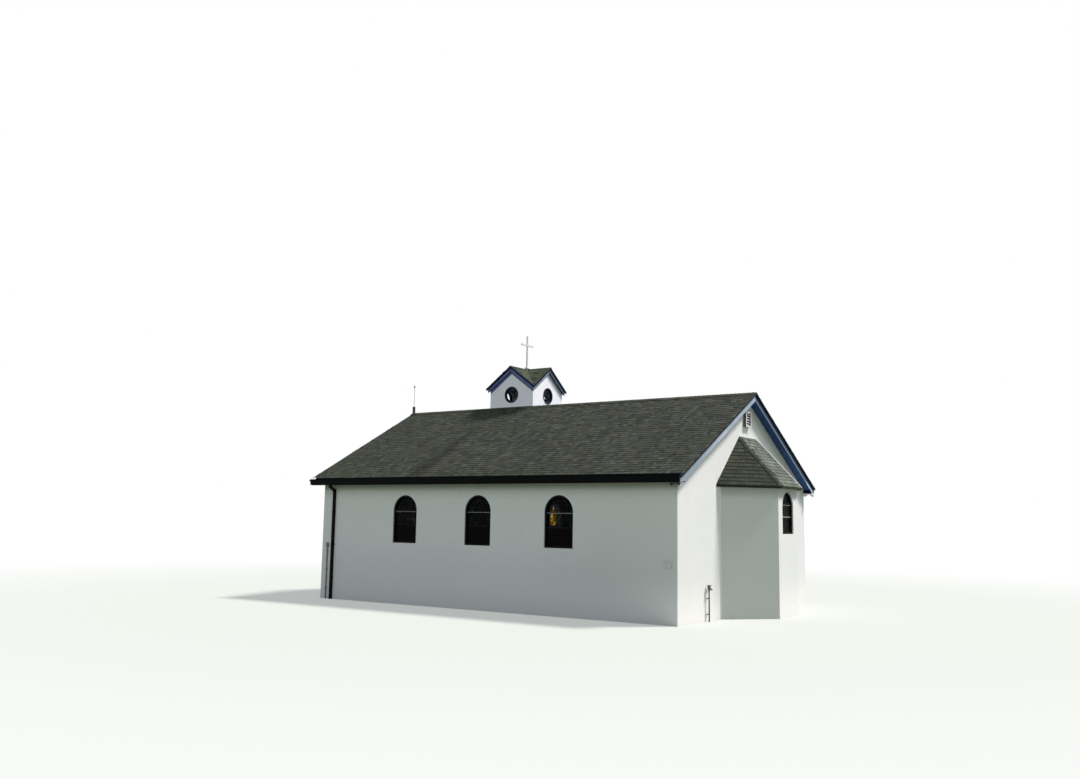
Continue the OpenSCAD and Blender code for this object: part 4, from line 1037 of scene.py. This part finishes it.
mossy_shingle = shingle_finish("mossy_cupola_shingle", 0.75, (0.088, 0.102, 0.050))
roof_faces, roof_ridges, half = [], [], reach - 0.001
looks = dict(tab=0.15, butt=0.006, tones=SHINGLE_TONES * [1.25, 1.35, 1.2])
for turn in range(4):
    c, s = math.cos(turn * math.pi / 2), math.sin(turn * math.pi / 2)
    spin = np.array([[c, -s, 0], [s, c, 0], [0, 0, 1]])
    peak, near_foot, far_foot = (cupola_middle + spin @ [half, y, -fall * abs(y)] for y in (0.0, -half, half))
    roof_faces.append(shingles(cupola_middle, peak, near_foot, near_foot, 20 + turn, **looks))
    roof_faces.append(shingles(peak, cupola_middle, far_foot, far_foot, 30 + turn, **looks))
    roof_ridges.append(caps(peak, cupola_middle + spin @ [0.06, 0, 0], spin @ unit([0, -1, -fall]),
                            spin @ unit([0, 1, -fall]), 0.085, 0.085, 40 + turn, lap=0.11, base=0.008, butt=0.005))
piece("cupola_shingles", together(*roof_faces, *roof_ridges), mossy_shingle)


# Round windows: a flat navy rim on the boards, a sleeve of sheet through the wall and a ring that holds
# the pane in the middle of it, each turned round the window's own axis, with six screws in each rim
def turned(profile, centre, axis, sides=24):
    """A (radius, distance) profile turned round an axis through centre."""
    axis, profile = unit(axis), np.asarray(profile, float)
    points = np.asarray(centre, float) + profile[:, None, :1] * spokes(axis, sides) + profile[:, None, 1:] * axis
    return points.reshape(-1, 3), rings_of_faces(len(profile) - 1, sides, len(profile) * sides)


navy = painted("navy_paint", (0.016, 0.022, 0.065), (0.04, 0.045, 0.08), 0.5, 0.2, gloss=0.15)
clear, shader, where = finish("clear_pane", (0.93, 0.95, 0.95), 0.02, gloss=0.25, Transmission_Weight=1.0, IOR=1.05)
plug(shader.inputs["Base Color"], blend(noise(where, 9.0, 3.0), (0.88, 0.90, 0.90), (0.97, 0.98, 0.98)))
dress(clear, "cupola_window_glass")
rim_profile = [(0.2308, 0.7005), (0.2268, 0.7005), (0.2268, 0.737), (0.1945, 0.737), (0.1875, 0.741), (0.1875, 0.749),
               (0.1945, 0.753), (0.2268, 0.753), (0.2268, 0.800), (0.2225, 0.803), (0.2225, 0.806), (0.2430, 0.806),
               (0.2470, 0.802), (0.2470, 0.7902), (0.2308, 0.7902), (0.2308, 0.7005)]
rim_face, screw_circle = 0.806, 0.235
window_centre = np.array([cupola_x, cupola_y, 6.01404])
rims, rim_screws = [], []
for turn in range(4):
    out = np.array([math.cos(turn * math.pi / 2), math.sin(turn * math.pi / 2), 0.0])
    across, upright = np.array([-out[1], out[0], 0.0]), np.array([0.0, 0.0, 1.0])
    rims.append(turned(rim_profile, window_centre, out, 64))
    ring = [math.cos(a) * across + math.sin(a) * upright for a in np.arange(6) * math.pi / 3 + 0.3]
    rim_screws.append(heads([window_centre + rim_face * out + screw_circle * way for way in ring], out, 0.006, 0.003))
round_rims = piece("round_window_rims", together(*rims), navy)
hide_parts("cupola_window_rims")
piece("round_window_screws", together(*rim_screws), navy)

# Flashing: four strips of painted sheet at the foot of the lantern, the side ones down the two slopes
half = 0.7905
near_y, far_y = cupola_y - half, cupola_y + half
near_z, far_z = ridge_z - slope * abs(near_y), ridge_z - slope * abs(far_y)
apron = np.array([(0.0, 0.0), (0.0, -0.070), (0.0025, -0.070), (0.004, -0.004), (0.004, 0.0)])
skirts = [carried(apron * sign, [(cupola_x + sign * half, near_y, near_z + 0.012),
                                 (cupola_x + sign * half, far_y, far_z + 0.012)], (1, 0, 0)) for sign in (-1, 1)]
for y, z, thick, high in ((near_y, near_z + 0.024, -0.003, 0.05), (far_y, far_z + 0.010, 0.003, 0.07)):
    skirts.append(carried([(thick, 0.0), (0.0, 0.0), (0.0, high), (thick, high)],
                          [(cupola_x - half, y, z), (cupola_x + half, y, z)], (0, 1, 0)))
piece("cupola_flashing", together(*skirts), cupola_paint)


# Cross and rod: a white painted cross of square bar on the crossing of the cupola's ridges, and a
# dark post with a thin rod and a ball at the door end of the ridge.
UPRIGHT = (0, 0, 1)
white_metal = painted("white_metal", (0.76, 0.765, 0.75), (0.45, 0.45, 0.42), 0.42, 0.35, gloss=0.4)
dress(white_metal, "cross")
collar = turned([(0.0, 0.030), (0.052, 0.030), (0.056, 0.026), (0.056, 0.012), (0.075, 0.000), (0.075, -0.03),
                 (0.0, -0.03)], cupola_middle + [0, 0, 0.05], UPRIGHT)
cross_bolts = heads([cupola_middle + [0.0225, y, 0.756] for y in (-0.012, 0.012)], (1, 0, 0), 0.006, 0.004)
piece("cross_collar", together(collar, cross_bolts), white_metal)

rod_metal, shader, where = finish("rod_metal", (0.3, 0.3, 0.3), 0.5, gloss=0.3)
worn = use(worn_paint, where, Wear=0.5)
post = blend(worn["Bare"], (0.030, 0.022, 0.018), (0.10, 0.055, 0.030))
rod = blend(worn["Chalk"], (0.42, 0.42, 0.41), (0.60, 0.60, 0.58))
surface(shader, blend(split(where)[2] > 5.835, post, rod), worn["Height"], 0.0008)
dress(rod_metal, "ridge_rod")
rod_x = roof_x0 + 0.036
post_cap = turned([(0.0, 0.0), (0.034, 0.0), (0.038, 0.006), (0.030, 0.016), (0.012, 0.026), (0.0, 0.030)],
                  (rod_x, 0, 5.831), UPRIGHT)
rod_joint = turned([(0.0, -0.012), (0.016, -0.012), (0.018, 0.0), (0.016, 0.012), (0.0, 0.012)],
                   (rod_x, 0, 6.46), UPRIGHT)
piece("rod_clamps", together(post_cap, rod_joint), rod_metal)


# Fittings on the walls: the gable vent, whose box is darker than its white slats, with its screen,
# the cast standpipe, the conduit and meter box, and the floodlights under two corners of the roof.
vent_paint, shader, where = finish("vent_paint", (0.7, 0.7, 0.69), 0.5, gloss=0.3)
_, out_y, out_z = true_normal(where)
colour = blend(abs(out_y).math("MAXIMUM", abs(out_z)) > 0.97, (0.80, 0.80, 0.79), (0.105, 0.098, 0.090))
dusty(shader, where, 0.3, colour, (0.30, 0.30, 0.28))
dress(vent_paint, "gable_vent")
screen_metal = painted("vent_screen", (0.32, 0.32, 0.31), (0.20, 0.20, 0.19), 0.8, 0.5)
vent_y, vent_low, vent_high = -0.125, 4.752, 5.082
screen_wire = circle(0.0016, 5)
screen = [carried(screen_wire, [(5.574, y, vent_low), (5.574, y, vent_high)], (0, 1, 0))
          for y in np.linspace(vent_y - 0.130, vent_y + 0.130, 14)]
screen += [carried(screen_wire, [(5.577, vent_y - 0.133, z), (5.577, vent_y + 0.133, z)], UPRIGHT)
           for z in np.linspace(vent_low + 0.005, vent_high - 0.005, 18)]
piece("vent_screen", together(*screen), screen_metal)
vent_screws = heads([(5.648, vent_y + s * 0.150, z) for s in (-1, 1) for z in (4.737, 4.917, 5.097)],
                    (1, 0, 0), 0.006, 0.003)
piece("vent_screws", vent_screws, vent_paint)

# Standpipe: rusting cast iron with a spout rim, a lid, a collar and bolts
cast_iron, shader, where = finish("cast_iron_paint", (0.10, 0.105, 0.105), 0.5, gloss=0.35)
colour, worn = brushed(where, 0.6, (0.085, 0.09, 0.09), (0.15, 0.155, 0.15), (0.16, 0.075, 0.035))
foot = use(rain_and_splash, where, Top=0.9, Run=1.0, Splash=0.35)["Foot"]
surface(shader, blend(foot * 0.6, colour, (0.11, 0.085, 0.06)), worn["Height"], 0.0012)
dress(cast_iron, "standpipe")
pipe_x, pipe_y, pipe_top, spout_tilt = half_long + 0.066, -2.54, 0.830, math.radians(115)
spout_way = np.array([math.sin(spout_tilt), 0.0, math.cos(spout_tilt)])
pipe_bolts = [(pipe_x + 0.012, pipe_y + 0.10, pipe_top - 0.005), (5.591, pipe_y - 0.012, 0.172),
              (5.591, pipe_y - 0.012, 0.532)]
piece("standpipe_fittings", together(
    turned([(0.0, 0.0), (0.021, 0.0), (0.023, 0.004), (0.023, 0.014), (0.019, 0.018), (0.0, 0.018)],
           np.array([pipe_x, pipe_y, pipe_top - 0.06]) + 0.068 * spout_way, spout_way),
    turned([(0.0, 0.0), (0.044, 0.0), (0.044, 0.008), (0.030, 0.018), (0.012, 0.024), (0.0, 0.025)],
           (pipe_x, pipe_y, pipe_top - 0.012), UPRIGHT),
    turned([(0.0, 0.0), (0.022, 0.0), (0.022, 0.03), (0.018, 0.034), (0.0, 0.034)], (pipe_x, pipe_y, 0.690), UPRIGHT),
    heads(pipe_bolts, (1, 0, 0), 0.008, 0.006)), cast_iron)

# Meter box and conduit: a raised lid edge and a round dial cover with screws, and clamps on the conduit
fitting_grey, shader, where = finish("fitting_grey", (0.40, 0.41, 0.40), 0.55, gloss=0.3)
colour = blend(ramp(split(where)[0], -0.1, 0.1), (0.17, 0.185, 0.21), (0.63, 0.65, 0.64))
dusty(shader, where, 0.4, colour, (0.36, 0.36, 0.34))
dress(fitting_grey, "wall_fittings")
box_x, box_face, box_low, box_high, box_half = 5.34, -4.080, 1.257, 1.387, 0.078
lid_path = [(box_x + s * box_half, box_face, z)
            for s, z in ((-1, box_low + 0.008), (1, box_low + 0.008), (1, box_high - 0.008), (-1, box_high - 0.008))]
conduit_x, conduit_y = 0.215 - half_long, -4.0523
clamp_profile = [(0.0171, -0.010), (0.0215, -0.010), (0.0215, 0.010), (0.0171, 0.010), (0.0171, -0.010)]
screw_places = (
    [(box_x + s * 0.066, box_face, z) for s in (-1, 1) for z in (box_low + 0.02, box_high - 0.02)],
    [(conduit_x + s * 0.028, conduit_y - 0.019, z) for s in (-1, 1) for z in (0.310, 0.810, 1.310)],
    [(conduit_x + s * 0.030, conduit_y - 0.018, z) for s in (-1, 1) for z in (1.45, 1.53)])
box_screws, clamp_screws, top_screws = (heads(places, (0, -1, 0), 0.004, 0.003) for places in screw_places)
piece("meter_box_and_clamps", together(
    carried([(0.0, -0.002), (-0.004, -0.002), (-0.004, 0.002), (0.0, 0.002)], lid_path, (0, 1, 0), closed=True),
    box_screws,
    turned([(0.0, 0.0), (0.034, 0.0), (0.036, 0.004), (0.032, 0.010), (0.024, 0.013), (0.0, 0.014)],
           (box_x, box_face, 1.322), (0, -1, 0)),
    *[turned(clamp_profile, (conduit_x, conduit_y, z), UPRIGHT) for z in (0.55, 1.05)],
    clamp_screws, top_screws), fitting_grey)

# Floodlights: pairs of lamps, dark on the near corner and white on the far one, with lenses in grey rims
lamp_paint, shader, where = finish("floodlight_paint", (0.70, 0.70, 0.69), 0.4, gloss=0.4)
dust = use(settled_dust, where, Amount=0.4)
colour = blend(ramp(split(where)[1], -0.1, 0.1), (0.045, 0.047, 0.047), (0.92, 0.92, 0.91))
surface(shader, blend(dust["Dust"] * 0.5, colour, (0.30, 0.30, 0.28)), dust["Height"], 0.0008)
dress(lamp_paint, "corner_floodlights")
lens_glass = painted("floodlight_lens", (0.90, 0.91, 0.90), (0.7, 0.7, 0.68), 0.18, 0.2, Coat_Weight=0.5)
lamp_tilt, lamp_reach = math.radians(112), 0.110
lens_profile = [(0.0, 0.010), (0.018, 0.009), (0.032, 0.005), (0.040, 0.0), (0.040, -0.002), (0.0, -0.002)]
gasket_profile = [(0.0402, -0.004), (0.0470, -0.004), (0.0475, 0.004), (0.0402, 0.004), (0.0402, -0.004)]
lamps = []
for out, y in ((0.015, -4.1505), (0.115, 4.1505)):
    for side in (-1, 1):
        way = np.array([side * math.sin(lamp_tilt), 0.0, math.cos(lamp_tilt)])
        lamps.append((np.array([half_long + out + side * 0.025, y, 3.134]) + lamp_reach * way, way))
lenses, rims = ([turned(profile, *lamp) for lamp in lamps] for profile in (lens_profile, gasket_profile))
piece("floodlight_lenses", together(*lenses), lens_glass, smooth=True)
piece("floodlight_rims", together(*rims), fitting_grey)
